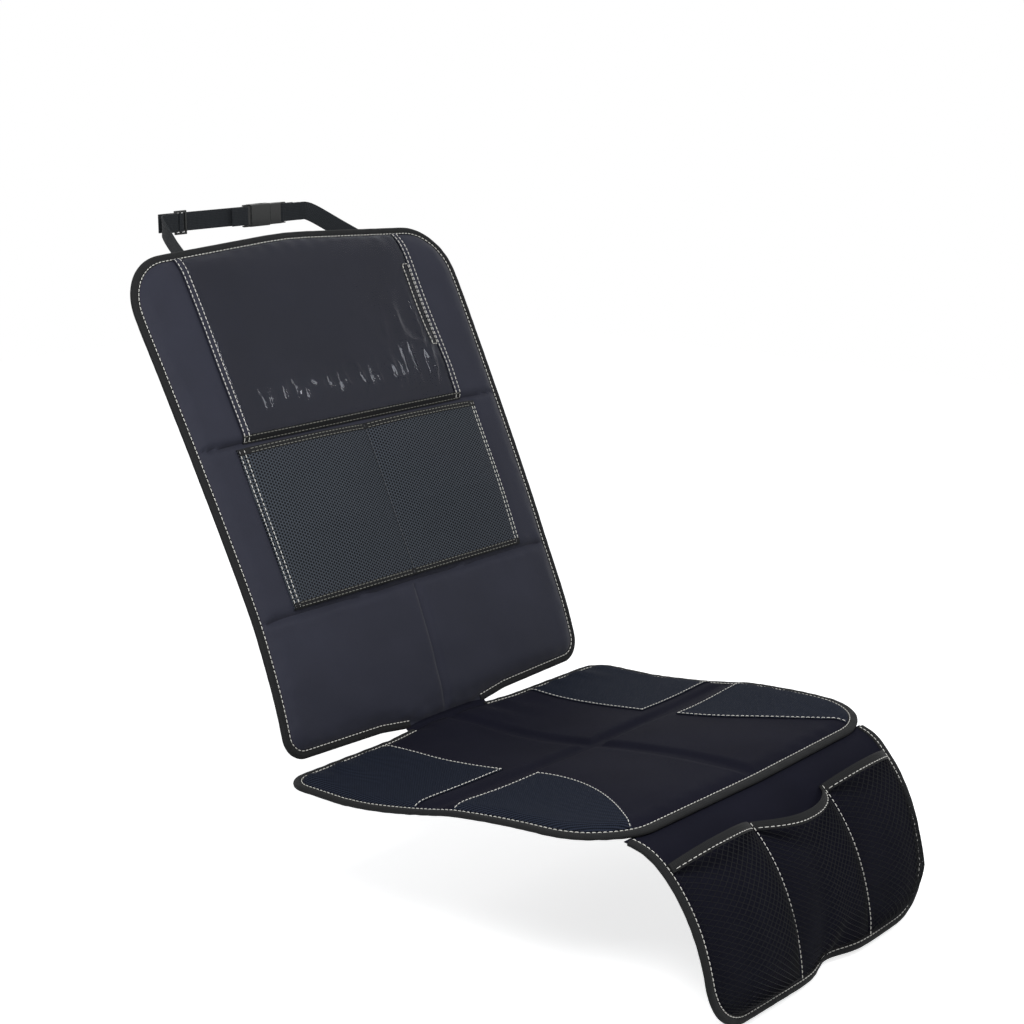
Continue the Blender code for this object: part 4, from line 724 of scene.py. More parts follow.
# %% Binding tape
TAPE_SECTION = np.array([
    (TAPE_WIDTH, -SEAM_TOP - 0.0003), (TAPE_WIDTH - 0.0006, -TAPE_TOP + 0.0003), (0.0080, -TAPE_TOP + 0.0005),
    (0.0060, -TAPE_TOP - 0.0002), (0.0035, -TAPE_TOP - 0.0004), (0.0014, -TAPE_TOP + 0.0001),
    (0.0003, -TAPE_TOP * 0.55), (0.0, 0.0), (0.0003, TAPE_TOP * 0.55), (0.0014, TAPE_TOP - 0.0001),
    (0.0035, TAPE_TOP + 0.0004), (0.0060, TAPE_TOP + 0.0002), (0.0080, TAPE_TOP - 0.0005),
    (TAPE_WIDTH - 0.0006, TAPE_TOP - 0.0003), (TAPE_WIDTH, SEAM_TOP + 0.0003),
])


def bound_edge(name, path, level, step=0.0035):
    """Tape folded over an edge, with the panel to the left of the path: rings of the folded section."""
    length = np.linalg.norm(np.diff(path, axis=0), axis=1).sum()
    path = resample(path, int(length / step))
    along = np.linspace(0, length, len(path))
    travel = np.gradient(path, axis=0)
    travel /= np.linalg.norm(travel, axis=1)[:, None]
    inward = np.column_stack([-travel[:, 1], travel[:, 0]])
    depth, height = TAPE_SECTION.T
    fullness = 1 + 0.10 * ripples(path[:, 0], path[:, 1], 0.016, 21)
    spot = path[:, None] + inward[:, None] * depth[None, :, None]
    rings = place(spot[..., 0], spot[..., 1], level + height * fullness[:, None])
    around = np.linspace(0, 2 * TAPE_WIDTH, len(depth))
    pattern = np.stack(np.broadcast_arrays(along[:, None], around), axis=-1)
    return tube(name, rings, pattern, BINDING)


back_rim = run_of(BACK_EDGE, (SLIT_INNER, MITRE), (-SLIT_INNER, MITRE))
back_binding = bound_edge("back_tape", back_rim, 0.0)
seat_rim = run_of(SEAT_EDGE, (-SLIT_INNER, -MITRE), (SLIT_INNER, -MITRE))
seat_binding = bound_edge("seat_tape", seat_rim, 0.0)
flap_rim = run_of(FLAP_EDGE, (-FLAP_TOP_HALF, FLAP_TOP_V), (FLAP_TOP_HALF, FLAP_TOP_V))
flap_rim = flap_rim[flap_rim[:, 1] < -SEAT_DEPTH + 0.006]
flap_binding = bound_edge("flap_tape", flap_rim, FLAP_LEVEL)
for tape, node in ((back_binding, "back_binding"), (seat_binding, "seat_binding"),
                   (flap_binding, "flap_binding")):
    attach(tape, "root")
    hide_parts(node)

# %% Backings
for node, edge, corners, columns, rows, flat, tape in (
    ("back_backing", BACK_EDGE, BACK_CORNERS, 60, 70, (0.475, 0.553), back_binding),
    ("seat_backing", SEAT_EDGE, SEAT_CORNERS, 64, 52, (0.505, 0.401), seat_binding),
):
    grid = panel_grid(edge, corners, columns, rows)
    backing = layered(f"{node}_cloth", grid, -SEAM_TOP, -PAD_BASE, BACKING)
    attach(backing, "root")
    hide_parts(node)

# %% [markdown]
# ## Corner patches
# Child seats wear through the four corners of the seat, so the real mat has a tougher twill there. The
# rear patches are plain rectangles. Each front patch narrows to a nose with a curved inner edge. They
# lie on the padding, so they take their height from it.


# %% Patches
PATCH_EDGE = 0.0098
PATCH_LIFT = 0.0012
PATCH_THICK = 0.0006


def patch_sides(sign, rear):
    """The four sides of a patch in the pattern, from its inner corner outwards."""
    border = inset(SEAT_EDGE, PATCH_EDGE)
    border = border * np.array([sign, 1])
    if sign < 0:
        border = border[::-1]
    if rear:
        near = FOLD_V + PATCH_FOLD_MARGIN
        outer_x = crossings_at(border, near).max()
        rear_v = crossings_at(border[:, ::-1], PATCH_INNER_X).max()
        corner = (SEAT_HALF - 0.0200, -0.0270)
        foot = np.array([(PATCH_INNER_X, near), (outer_x, near)])
        right = run_of(border, (outer_x, near), corner)
        top = run_of(border, corner, (PATCH_INNER_X, rear_v))[::-1]
        left = np.array([(PATCH_INNER_X, near), (PATCH_INNER_X, rear_v)])
    else:
        near = FOLD_V - PATCH_FOLD_MARGIN
        outer_x = crossings_at(border, near).max()
        nose_v = crossings_at(border[:, ::-1], PATCH_NOSE_X).min()
        corner = (0.2300, -0.3350)
        t = np.linspace(0, 1, 24)[:, None]
        curved_x = PATCH_NOSE_X + (PATCH_INNER_X - PATCH_NOSE_X) * (1 - (1 - t) ** 2)
        left = np.hstack([curved_x, nose_v + (near - nose_v) * t])
        foot = run_of(border, (PATCH_NOSE_X, nose_v), corner)
        right = run_of(border, corner, (outer_x, near))
        top = np.array([(PATCH_INNER_X, near), (outer_x, near)])
    foot[0], top[0], foot[-1], top[-1] = left[0], left[-1], right[0], right[-1]
    return [side * np.array([sign, 1]) for side in (foot, right, top, left)]


def patch_top(x, v):
    """Height of a patch's face: it lies on the padding."""
    return seat_top(x, v) + PATCH_LIFT


patch_lines = []
for side, sign in (("left", -1), ("right", 1)):
    for row in ("rear", "front"):
        foot, right, top, left = patch_sides(sign, row == "rear")
        grid = stretched(foot, right, top, left, 46, 54)
        height = patch_top(grid[..., 0], grid[..., 1])
        patch = layered(f"patch_{row}_{side}", grid, height - PATCH_THICK, height, TWILL)
        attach(patch, "root")
        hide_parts(f"corner_patch_{row}_{side}")
        flat = (0.128, 0.175) if row == "rear" else (0.130, 0.168)
        patch_lines += [(left, sign), (foot if row == "rear" else top, sign)]


# %% [markdown]
# ## Mesh pocket
# Two pockets of spacer mesh share a seam in the middle of the back. Each is sewn down at its foot and
# its sides and stands a little off at its mouth. The stand-off is a rounded hump across the pocket,
# which fades towards the foot.


# %% Mesh pockets and their hems
POCKET_BELLY = 0.0085
POCKET_LIFT = 0.0017
MESH_THICK = 0.0012


def hump(share):
    """0 at both ends of a span and 1 in its middle, with a rounded crown."""
    return 1 - np.abs(2 * share - 1) ** 2.5


def pocket_top(x, v):
    """Height of the pocket's outside: on the padding at its seams, and humped between them."""
    across = np.clip(np.abs(x) / pocket_half(v), 0, 1)
    up = np.clip((v - POCKET_BOTTOM_V) / (POCKET_TOP_V - POCKET_BOTTOM_V), 0, 1)
    belly = POCKET_BELLY * hump(across) * np.clip(up * 2.2, 0, 1) * (0.72 + 0.28 * up)
    slack = 0.0005 * ripples(x, v, 0.06, 31) * hump(across)
    return back_top(x, v) + POCKET_LIFT + belly + np.maximum(slack, -belly * 0.5)


for side, sign in (("left", -1), ("right", 1)):
    rows = np.linspace(POCKET_BOTTOM_V, POCKET_TOP_V, 58)[:, None]
    share = np.linspace(0, 1, 62)[None]
    x = sign * (0.0006 + (pocket_half(rows) - 0.0006) * share)
    grid = np.stack(np.broadcast_arrays(x, rows), axis=-1)
    height = pocket_top(grid[..., 0], grid[..., 1])
    pocket = layered(f"pocket_{side}", grid, height - MESH_THICK, height, SPACER)
    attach(pocket, "root")
    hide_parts(f"mesh_pocket_{side}")
    for row, low, high in (("mouth", POCKET_TOP_V - POCKET_HEM, POCKET_TOP_V + 0.0008),
                           ("foot", POCKET_BOTTOM_V - 0.001, POCKET_BOTTOM_V + POCKET_HEM)):
        rows = np.linspace(low, high, 8)[:, None]
        x = sign * (0.0004 + (pocket_half(rows) - 0.0006) * share)
        grid = np.stack(np.broadcast_arrays(x, rows), axis=-1)
        reach = (grid[..., 1] - low) / (high - low)
        crown = 0.0005 * np.sqrt(np.clip(4 * reach * (1 - reach), 0, 1))
        height = pocket_top(grid[..., 0], grid[..., 1]) + 0.0003 + crown
        depth = 0.0026 if row == "mouth" else 0.0007
        hem = layered(f"pocket_{row}_tape_{side}", grid, height - depth, height, BINDING)
        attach(hem, "root")
        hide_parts(f"pocket_{row}_hem_{side}")

# %% [markdown]
# ## Tablet window
# A sheet of clear film covers the upper half of the back. A tablet slides in behind it from the right,
# where only a hook-and-loop strip closes it. Soft film keeps the creases of its packing: sharp little
# ridges, most of them in the lower right corner. Each ridge is a wave with its crest pinched. The film
# lets the cloth show through and mirrors a little, more at a slant: 0.04 + 0.96 (1 - cosine)^5.


# %% Clear film
FILM_LIFT = 0.0013
FILM_THICK = 0.0004
FILM_SLACK = 0.0034
CORNER_CREASE = 0.0046
FOOT_CREASE = 0.0030
TOP_TAPE_LINE = run_of(inset(BACK_EDGE, FOAM_MARGIN), (0.2100, 0.5350), (-0.2100, 0.5350))[::-1]


def window_top(x):
    """The window runs up under the top binding, which follows the crowned outline."""
    return np.interp(x, *TOP_TAPE_LINE.T)


def film_top(x, v):
    """Height of the film: slack between its seams, creased by pinched waves, held down at the closure."""
    across = np.clip((x + WINDOW_HALF) / (2 * WINDOW_HALF), 0, 1)
    up = np.clip((v - WINDOW_BOTTOM_V) / (WINDOW_TOP_V - WINDOW_BOTTOM_V), 0, 1)
    frame_fade = smooth_step(across, 0.05, 0.20) * smooth_step(up, 0.05, 0.22)
    frame_fade = frame_fade * smooth_step(1 - up, 0.0, 0.12)
    right_fade = 1 - 0.75 * smooth_step(across, 0.90, 0.98)
    slack = FILM_SLACK * frame_fade * (0.8 + 0.2 * ripples(x, v, 0.16, 41))
    long = np.clip(1 - np.abs(ripples(x * 1.9, v * 0.55, 0.062, 43)), 0, 1) ** 3.5
    short = np.clip(1 - np.abs(ripples(x * 1.8, v * 0.4, 0.040, 47)), 0, 1) ** 3.5
    corner = np.exp(-(((across - 0.86) / 0.11) ** 2) - (((up - 0.34) / 0.30) ** 2))
    foot = np.exp(-(((up - 0.18) / 0.11) ** 2)) * smooth_step(across, 0.08, 0.16)
    creases = frame_fade * right_fade * (CORNER_CREASE * long * corner + FOOT_CREASE * short * foot)
    return back_top(x, v) + FILM_LIFT + slack * right_fade + creases


x, share = np.meshgrid(np.linspace(-WINDOW_HALF, WINDOW_HALF, 150), np.linspace(0, 1, 100))
film_foot = WINDOW_BOTTOM_V + 0.0008
grid = np.stack([x, film_foot + (window_top(x) - film_foot) * share], axis=-1)
height = film_top(grid[..., 0], grid[..., 1])
film_shader = plain_finish("clear film", (0.27, 0.28, 0.30), 0.05)
tree = film_shader.node_tree
clear = tree.nodes.new("ShaderNodeBsdfTransparent")
clear.inputs["Color"].default_value = (0.82, 0.82, 0.84, 1)
slant = tree.nodes.new("ShaderNodeLayerWeight")
slant.inputs["Blend"].default_value = 0.5
grazing = add_math(tree, "POWER", slant.outputs["Facing"], 5)
mirror_share = add_math(tree, "MULTIPLY_ADD", grazing, 0.96, 0.04)
mix = tree.nodes.new("ShaderNodeMixShader")
tree.links.new(mirror_share, mix.inputs[0])
tree.links.new(clear.outputs[0], mix.inputs[1])
tree.nodes["Principled BSDF"].inputs["Metallic"].default_value = 1.0
tree.links.new(tree.nodes["Principled BSDF"].outputs[0], mix.inputs[2])
tree.links.new(mix.outputs[0], tree.nodes["Material Output"].inputs["Surface"])
film = layered("window_film", grid, height - FILM_THICK, height, film_shader, sharp=80)
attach(film, "root")
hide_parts("tablet_window")


# %% Window strips and closure
def strip(name, x_low, x_high, v_low, v_high, lift, thick, material, columns, rows):
    """A strip of cloth that follows the film's height, with a small lift."""
    x, share = np.meshgrid(np.linspace(x_low, x_high, columns), np.linspace(0, 1, rows))
    v = v_low + (v_high(x) - v_low) * share
    height = film_top(x, v) + lift
    return layered(name, np.stack([x, v], axis=-1), height - thick, height, material)


inner = WINDOW_HALF - WINDOW_SIDE_STRIP
strip_pieces = [strip("window_foot_band", -WINDOW_HALF, WINDOW_HALF, WINDOW_BOTTOM_V,
                      lambda x: WINDOW_BOTTOM_V + WINDOW_STRIP, 0.0006, 0.0008, BINDING, 120, 8)]
for side, sign in (("left", -1), ("right", 1)):
    x_low, x_high = sorted((sign * inner, sign * WINDOW_HALF))
    strip_pieces.append(strip(f"window_side_band_{side}", x_low, x_high, WINDOW_BOTTOM_V + WINDOW_STRIP,
                              window_top, 0.0009, 0.0011, POLYESTER, 7, 90))
STRIP_NODES = ("window_foot_strip", "window_side_strip_left", "window_side_strip_right")
for piece, node in zip(strip_pieces, STRIP_NODES):
    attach(piece, "root")
    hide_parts(node)

closure = strip("closure_band", inner - CLOSURE_WIDTH, inner, CLOSURE_LOW_V, lambda x: CLOSURE_HIGH_V,
                -0.0006, 0.0009, PILE, 6, 50)
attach(closure, "root")
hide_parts("closure_loop_strip", "closure_hook_strip")

# %% [markdown]
# ## Front flap
# The flap is one layer of cloth sewn under the seat's front edge. It hangs down the front of the seat
# with a soft fold near its middle. It has no foam, so its face shows broad, slow waves.


# %% Flap
def flap_top(x, v):
    """Height of the flap's face: slow waves that grow towards its hem."""
    down = np.clip((-v - SEAT_DEPTH) / FLAP_LENGTH, 0, 1)
    edge = edge_distance(x, v, FLAP_EDGE)
    waves = 0.0016 * ripples(x * 1.6, v * 0.5, 0.10, 51) * down * smooth_step(edge, 0.008, 0.03)
    return FLAP_LEVEL + CLOTH / 2 + waves


FLAP_CORNERS = ((0.1665, -0.5830), (FLAP_TOP_HALF, FLAP_TOP_V), (-FLAP_TOP_HALF, FLAP_TOP_V),
                (-0.1665, -0.5830))
flap_grid = panel_grid(FLAP_EDGE, FLAP_CORNERS, 130, 76)
height = flap_top(flap_grid[..., 0], flap_grid[..., 1])
# The flap takes the seat cloth, whose darker colour is painted shade.
flap = layered("flap_cloth", flap_grid, height - CLOTH, height, SEAT_CLOTH_PAINTED_SHADE)
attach(flap, "root")
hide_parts("flap_panel")

# %% [markdown]
# ## Net pockets
# The three pockets on the flap are knitted net. Each thread zigzags, and it touches its neighbour at
# every other turn, so the gaps are diamonds. The net is therefore made thread by thread: a thin tube
# with four sides for each zigzag, mapped into the pocket's bulging shape. Real gaps show the flap
# behind, which a pattern with holes painted on it can't do from the side.

# %% Net shape
NET_CELL = 0.0046
NET_THREAD = 0.00042
NET_MOUTH = 0.020
NET_BELLY = 0.027
NET_SAG = 0.016
NET_SEAM_GAP = 0.0008
NET_LENGTH = 0.170
NET_FULLNESS = 1.18
NET_TAPE_WIDTH = 0.009
NET_RIM = inset(FLAP_EDGE, TAPE_WIDTH + 0.0008)
NET_FOOT_V = float(NET_RIM[:, 1].min()) + 0.001
NET_UNDER_TAPE = (NET_TAPE_WIDTH + 0.002) / (NET_TOP_V - NET_FOOT_V)
NETS = (("left", (None, SEAM_LEFT), 0.0), ("middle", (SEAM_LEFT, SEAM_RIGHT), NET_SAG),
        ("right", (SEAM_RIGHT, None), 0.0))


def net_spot(u, r, seams, sag):
    """Pattern point of a pocket: u runs between its two seams, r from its mouth to its foot."""
    v_top = NET_TOP_V - sag * hump(u)
    v = v_top + (NET_FOOT_V - v_top) * r
    levels = np.linspace(NET_FOOT_V, NET_TOP_V, 60)
    reach = np.array([crossings_at(NET_RIM, level)[[0, -1]] for level in levels])
    down = np.clip((NET_TOP_V - v) / (NET_TOP_V - NET_FOOT_V), 0, 1)
    low, high = (np.interp(v, levels, reach[:, side]) for side in (0, 1))
    if seams[0] is not None:
        low = np.interp(down, (0, 1), seams[0]) + NET_SEAM_GAP
    if seams[1] is not None:
        high = np.interp(down, (0, 1), seams[1]) - NET_SEAM_GAP
    return low + (high - low) * u, v


def net_height(u, r):
    """Stand-off of the net: open at the mouth, fullest in the middle, sewn down at sides and foot."""
    mouth = np.clip(1 - (r - NET_UNDER_TAPE) * 3, 0, 1)
    full = NET_MOUTH * mouth + NET_BELLY * (1 - mouth)
    swell = full * hump(u) * np.clip((1 - r) * 3.2, 0, 1) ** 0.7
    return FLAP_LEVEL + CLOTH / 2 + 0.0014 + swell


def net_threads(name, seams, sag, count):
    """Zigzag threads side by side: each swings half a cell left and right, in turn with its neighbour."""
    length = NET_TOP_V - NET_FOOT_V
    turns_down = int(length / (NET_CELL * 0.62))
    r = np.linspace(0, 1, turns_down + 1)
    step = 1 / count
    number = np.arange(count)
    swing = (np.arange(turns_down + 1)[None] + number[:, None]) % 2 - 0.5
    u = np.clip((number[:, None] + 0.5 + swing * 0.94) * step, 0.002, 0.998)
    r = np.broadcast_to(r, u.shape)
    x, v = net_spot(u, r, seams, sag)
    stand = net_height(u, r)
    centre = place(x, v, stand)
    out = place(x, v, stand + 0.001) - centre
    out /= np.linalg.norm(out, axis=-1, keepdims=True)
    travel = np.gradient(centre, axis=1)
    travel /= np.linalg.norm(travel, axis=-1, keepdims=True)
    side = np.cross(travel, out)
    corners = [centre + NET_THREAD * (side * math.cos(a) * 1.15 + out * math.sin(a))
               for a in (math.pi / 4, 3 * math.pi / 4, 5 * math.pi / 4, 7 * math.pi / 4)]
    rings = np.stack(corners, axis=2)
    one = grid_faces(turns_down + 1, 4, wrap=True)
    size = (turns_down + 1) * 4
    caps = np.array([[0, 1, 2, 3], [size - 1, size - 2, size - 3, size - 4]])
    faces = np.vstack([one, caps])[None] + (number * size)[:, None, None]
    pattern = np.stack(np.broadcast_arrays(x[..., None], v[..., None] * np.ones(4)), axis=-1)
    return make_piece(name, rings, faces.reshape(-1, 4).tolist(), pattern, NETTING)


# %% Nets, their mouths and seams
TAPE_FOLD = np.array([
    (0.0, -0.0010), (0.0, 0.0010), (0.0012, 0.0016), (0.0045, 0.0015), (NET_TAPE_WIDTH - 0.0015, 0.0012),
    (NET_TAPE_WIDTH, 0.0005), (NET_TAPE_WIDTH, -0.0008), (0.0045, -0.0015), (0.0012, -0.0016),
])
NET_COUNTS = (30, 28, 28)
NET_WIDTHS = (0.135, 0.123, 0.125)
for (side, seams, sag), count, width in zip(NETS, NET_COUNTS, NET_WIDTHS):
    net = net_threads(f"net_{side}", seams, sag, count)
    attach(net, "root")
    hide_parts(f"net_pocket_{side}")
    u = np.linspace(0, 1, 60)
    x, v = net_spot(u, np.zeros(60), seams, sag)
    stand = net_height(u, np.zeros(60))
    depth, rise = TAPE_FOLD.T
    rings = place(x[:, None], v[:, None] + 0.001 - depth, stand[:, None] + rise)
    pattern = np.stack(np.broadcast_arrays(x[:, None], np.linspace(0, 0.02, len(depth))), axis=-1)
    mouth = tube(f"net_mouth_{side}", rings, pattern, BINDING)
    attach(mouth, "root")
    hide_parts(f"net_mouth_tape_{side}")
    threads = net.data
    cloth_area = sum(polygon.area for polygon in threads.polygons) / 2
    full_width = width * NET_FULLNESS
    share = cloth_area / full_width / NET_LENGTH
    print("net", side, "threads", count, "faces", len(threads.polygons), "share", round(share, 3))


# %% [markdown]
# ## Headrest strap
# Two lengths of webbing are sewn behind the panel's top corners and meet in a side-release buckle. The
# left one runs over a slider that takes up the length, and its tail hangs free. The buckle and the
# slider are kept from the measured model, and the webbing is a ribbon with rounded edges along a path.


# %% Webbing
WEBBING_WIDTH = 0.020
WEBBING_THICK = 0.0013
TAB_V = 0.511
TAB_X = 0.150
TAB_END_X = 0.178
STRAP_BEHIND = 0.0855
STRAP_LIFT = 0.0491
STRAP_Y, STRAP_Z = place(0.0, TAB_V, 0.0)[1:] + np.array([STRAP_BEHIND, STRAP_LIFT])
BUCKLE_X = 0.0015
BUCKLE_LENGTH = 0.064
SLIDER_X = -0.088
SLIDER_PITCH = 0.0072


def smooth_path(points, count):
    """A curve through a few points, each piece a cubic that leaves one and reaches the next smoothly."""
    points = np.array(points, float)
    ends = np.vstack([2 * points[0] - points[1], points, 2 * points[-1] - points[-2]])
    pieces = []
    for a, b, c, d in zip(ends, ends[1:], ends[2:], ends[3:]):
        t = np.linspace(0, 1, 20, endpoint=False)[:, None]
        bent = (2 * a - 5 * b + 4 * c - d) * t**2 + (3 * b - a - 3 * c + d) * t**3
        pieces.append(0.5 * (2 * b + (c - a) * t + bent))
    return resample(np.vstack(pieces + [points[-1:]]), count)


def ribbon(name, path, wide):
    """Webbing along a path: a flat section with rounded edges, its width along wide."""
    travel = np.gradient(path, axis=0)
    travel /= np.linalg.norm(travel, axis=1)[:, None]
    wide = np.broadcast_to(wide, path.shape)
    wide = wide - travel * (wide * travel).sum(axis=1)[:, None]
    wide /= np.linalg.norm(wide, axis=1)[:, None]
    out = np.cross(travel, wide)
    half, thick = WEBBING_WIDTH / 2, WEBBING_THICK / 2
    across = np.array([-1, -0.97, -0.5, 0, 0.5, 0.97, 1, 0.97, 0.5, 0, -0.5, -0.97]) * half
    rise = np.array([0, 1, 1, 1, 1, 1, 0, -1, -1, -1, -1, -1]) * thick
    rings = path[:, None] + wide[:, None] * across[None, :, None] + out[:, None] * rise[None, :, None]
    length = np.concatenate([[0], np.cumsum(np.linalg.norm(np.diff(path, axis=0), axis=1))])
    pattern = np.stack(np.broadcast_arrays(length[:, None], across), axis=-1)
    return tube(name, rings, pattern, WEBBING)


def strap_points(pairs):
    """World points on the strap's line, from pairs of x and a distance to the rear."""
    return np.array([(x, STRAP_Y + y, STRAP_Z) for x, y in pairs])


def sewn_end(sign, start):
    """The points of webbing from its place behind the panel to the strap's line."""
    behind = -(SEAM_TOP + 0.0015)
    first = place(sign * TAB_END_X, TAB_V, behind)
    second = place(sign * (TAB_X + 0.010), TAB_V, behind)
    third = place(sign * TAB_X, TAB_V, behind) + np.array([0, 0.0012, 0])
    lift = third + np.array([-sign * 0.012, 0.010, 0.007])
    near = start + np.array([sign * 0.014, -0.005, -0.002])
    return [first, second, third, lift, (lift + near) / 2 + np.array([0, 0.003, 0.001]), near, start]


def loop_round(bar, radius, sign, count=13):
    """Half a turn round an upright bar, open towards the strap's own end."""
    angles = np.radians(np.linspace(-90, 90, count))
    return strap_points([(bar + sign * radius * math.cos(a), radius * math.sin(a)) for a in angles])


def leaning(path, lean, upright):
    """The webbing lies with the panel where it is sewn on and stands upright further in."""
    share = np.clip((TAB_X - np.abs(path[:, :1])) / 0.030, 0, 1)
    return lean * (1 - share) + upright * share


upright = np.array([0.0, 0.0, 1.0])
lean = place(0.0, TAB_V + 0.01, 0) - place(0.0, TAB_V, 0)
lean /= np.linalg.norm(lean)
left_bar = SLIDER_X - SLIDER_PITCH
loop = 0.0023
start = strap_points([(left_bar - 0.010, -loop)])[0]
path = np.vstack([smooth_path(sewn_end(-1, start), 48), loop_round(left_bar, loop, 1),
                  strap_points([(left_bar - 0.009, loop)])])
tab = ribbon("strap_tab_left", path, leaning(path, lean, upright))

bar = BUCKLE_X + 0.0040
buckle_loop = 0.0025
tail = loop + 0.0012 + 0.0006
half_turn = np.radians(np.linspace(-90, 90, 7))
pairs = [(bar - 0.022, -buckle_loop), (bar - 0.008, -buckle_loop)]
pairs += [(bar + buckle_loop * math.cos(a), buckle_loop * math.sin(a)) for a in half_turn]
pairs += [(bar - 0.008, buckle_loop), (SLIDER_X + SLIDER_PITCH + 0.010, tail)]
pairs += [(SLIDER_X + SLIDER_PITCH, loop + 0.0006), (SLIDER_X + SLIDER_PITCH / 2, 0.0)]
pairs += [(SLIDER_X + 0.0012, -loop), (SLIDER_X - 0.0016, -loop)]
pairs += [(SLIDER_X - SLIDER_PITCH / 2 + 0.0010, 0.0), (SLIDER_X - SLIDER_PITCH / 2 + 0.0010, loop + 0.0004)]
pairs += [(left_bar, tail + 0.0014), (left_bar - 0.010, tail + 0.0016), (SLIDER_X - 0.026, tail + 0.001)]
main_strap = ribbon("strap_left", smooth_path(strap_points(pairs), 190), upright)

bar = BUCKLE_X + BUCKLE_LENGTH - 0.0040
start = strap_points([(bar + 0.010, -buckle_loop)])[0]
path = np.vstack([smooth_path(sewn_end(1, start + np.array([0.012, 0, 0])), 54), start[None],
                  loop_round(bar, buckle_loop, -1), strap_points([(bar + 0.018, buckle_loop)])])
right_strap = ribbon("strap_right", path, leaning(path, lean, upright))
for piece, node in ((tab, "webbing_tab_left"), (main_strap, "webbing_left"), (right_strap, "webbing_right")):
    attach(piece, "root")
    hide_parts(node)
for node in ("strap_slider", "buckle_socket", "buckle_plug"):
    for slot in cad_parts[node].material_slots:
        slot.material = PLASTIC

# %% [markdown]
# ## Stitching
# Off-white thread draws the mat: single rows on the bindings, double rows beside the window and the
# pocket. A stitch is a small tapered bead, six-sided, that rises from the cloth and dives back into it.
# All stitches are worked out at once, from the ends of each on the pattern.

# %% Stitch maker
STITCH_PITCH = 0.0050
STITCH_LENGTH = 0.0037
STITCH_RADIUS = 0.00042


def stitch_row(path, height):
    """Starts and ends of stitches along a path on the pattern, with the height of the cloth at each."""
    run = np.concatenate([[0], np.cumsum(np.linalg.norm(np.diff(path, axis=0), axis=1))])
    count = int(run[-1] / STITCH_PITCH)
    first = (np.arange(count) + 0.12) * run[-1] / count
    ends = []
    for reach in (first, first + STITCH_LENGTH):
        x, v = (np.interp(reach, run, path[:, axis]) for axis in range(2))
        level = height(x, v)
        ends.append(np.stack([place(x, v, level), place(x, v, level + 0.001)], axis=1))
    return np.stack(ends, axis=1)


def sew(name, rows, material):
    """All stitches as one object: four rings of six points each, the ends thin and the middle raised."""
    ends = np.vstack(rows)
    start, end = ends[:, 0, 0], ends[:, 1, 0]
    out = ends[:, 0, 1] - start + ends[:, 1, 1] - end
    out /= np.linalg.norm(out, axis=1)[:, None]
    travel = end - start
    travel /= np.linalg.norm(travel, axis=1)[:, None]
    side = np.cross(travel, out)
    along = np.array([0.0, 0.2, 0.8, 1.0])[None, :, None, None]
    girth = np.array([0.35, 1.0, 1.0, 0.35])[None, :, None, None] * STITCH_RADIUS
    rise = np.array([-0.5, 0.35, 0.35, -0.5])[None, :, None, None] * STITCH_RADIUS
    angle = np.arange(6) * math.pi / 3
    sideways = side[:, None, None] * np.cos(angle)[None, None, :, None]
    upwards = out[:, None, None] * np.sin(angle)[None, None, :, None]
    middle = start[:, None, None] + (end - start)[:, None, None] * along
    points = middle + (sideways + upwards) * girth + out[:, None, None] * rise
    one = grid_faces(4, 6, wrap=True)
    number = (np.arange(len(ends)) * 24)[:, None, None]
    sides = (one[None] + number).reshape(-1, 4).tolist()
    caps = [np.arange(6), np.arange(23, 17, -1)]
    faces = sides + [list(map(int, cap + base)) for base in number[:, 0, 0] for cap in caps]
    pattern = np.zeros((len(ends) * 24, 2))
    piece = make_piece(name, points, faces, pattern, material, sharp=180)
    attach(piece, "root")
    print(name, len(ends), "stitches")
    return piece


def at(level):
    """A height that is the same everywhere."""
    return lambda x, v: np.full(np.shape(x), level)


def on(top, lift):
    """A height that follows a surface, lifted a little."""
    return lambda x, v: top(x, v) + lift


# %% Rows on the panels
PATCH_ROW = 0.0018

tape_sewn = TAPE_TOP - 0.0001
back_rows = [stitch_row(inset(back_rim, STITCH_DEPTH, closed=False), at(tape_sewn))]
seat_rows = [stitch_row(inset(seat_rim, STITCH_DEPTH, closed=False), at(tape_sewn))]
flap_rows = [stitch_row(inset(flap_rim, STITCH_DEPTH, closed=False), at(FLAP_LEVEL + tape_sewn))]
for line, sign in patch_lines:
    middle = np.array([sign * 0.185, line[:, 1].mean() + (0.05 if line[:, 1].mean() > FOLD_V else -0.05)])
    two_sides = [inset(line, offset, closed=False) for offset in (-PATCH_ROW, PATCH_ROW)]
    inner_line = min(two_sides, key=lambda row: np.linalg.norm(row.mean(axis=0) - middle))
    seat_rows.append(stitch_row(inner_line, on(patch_top, 0.0003)))

# %% Rows on the window and the pocket
WINDOW_ROW = 0.0014
POCKET_ROWS = (0.0016, 0.0068)
POCKET_HEM_ROWS = (0.0012, POCKET_HEM - 0.0014)
BAND_ROW = 0.0016

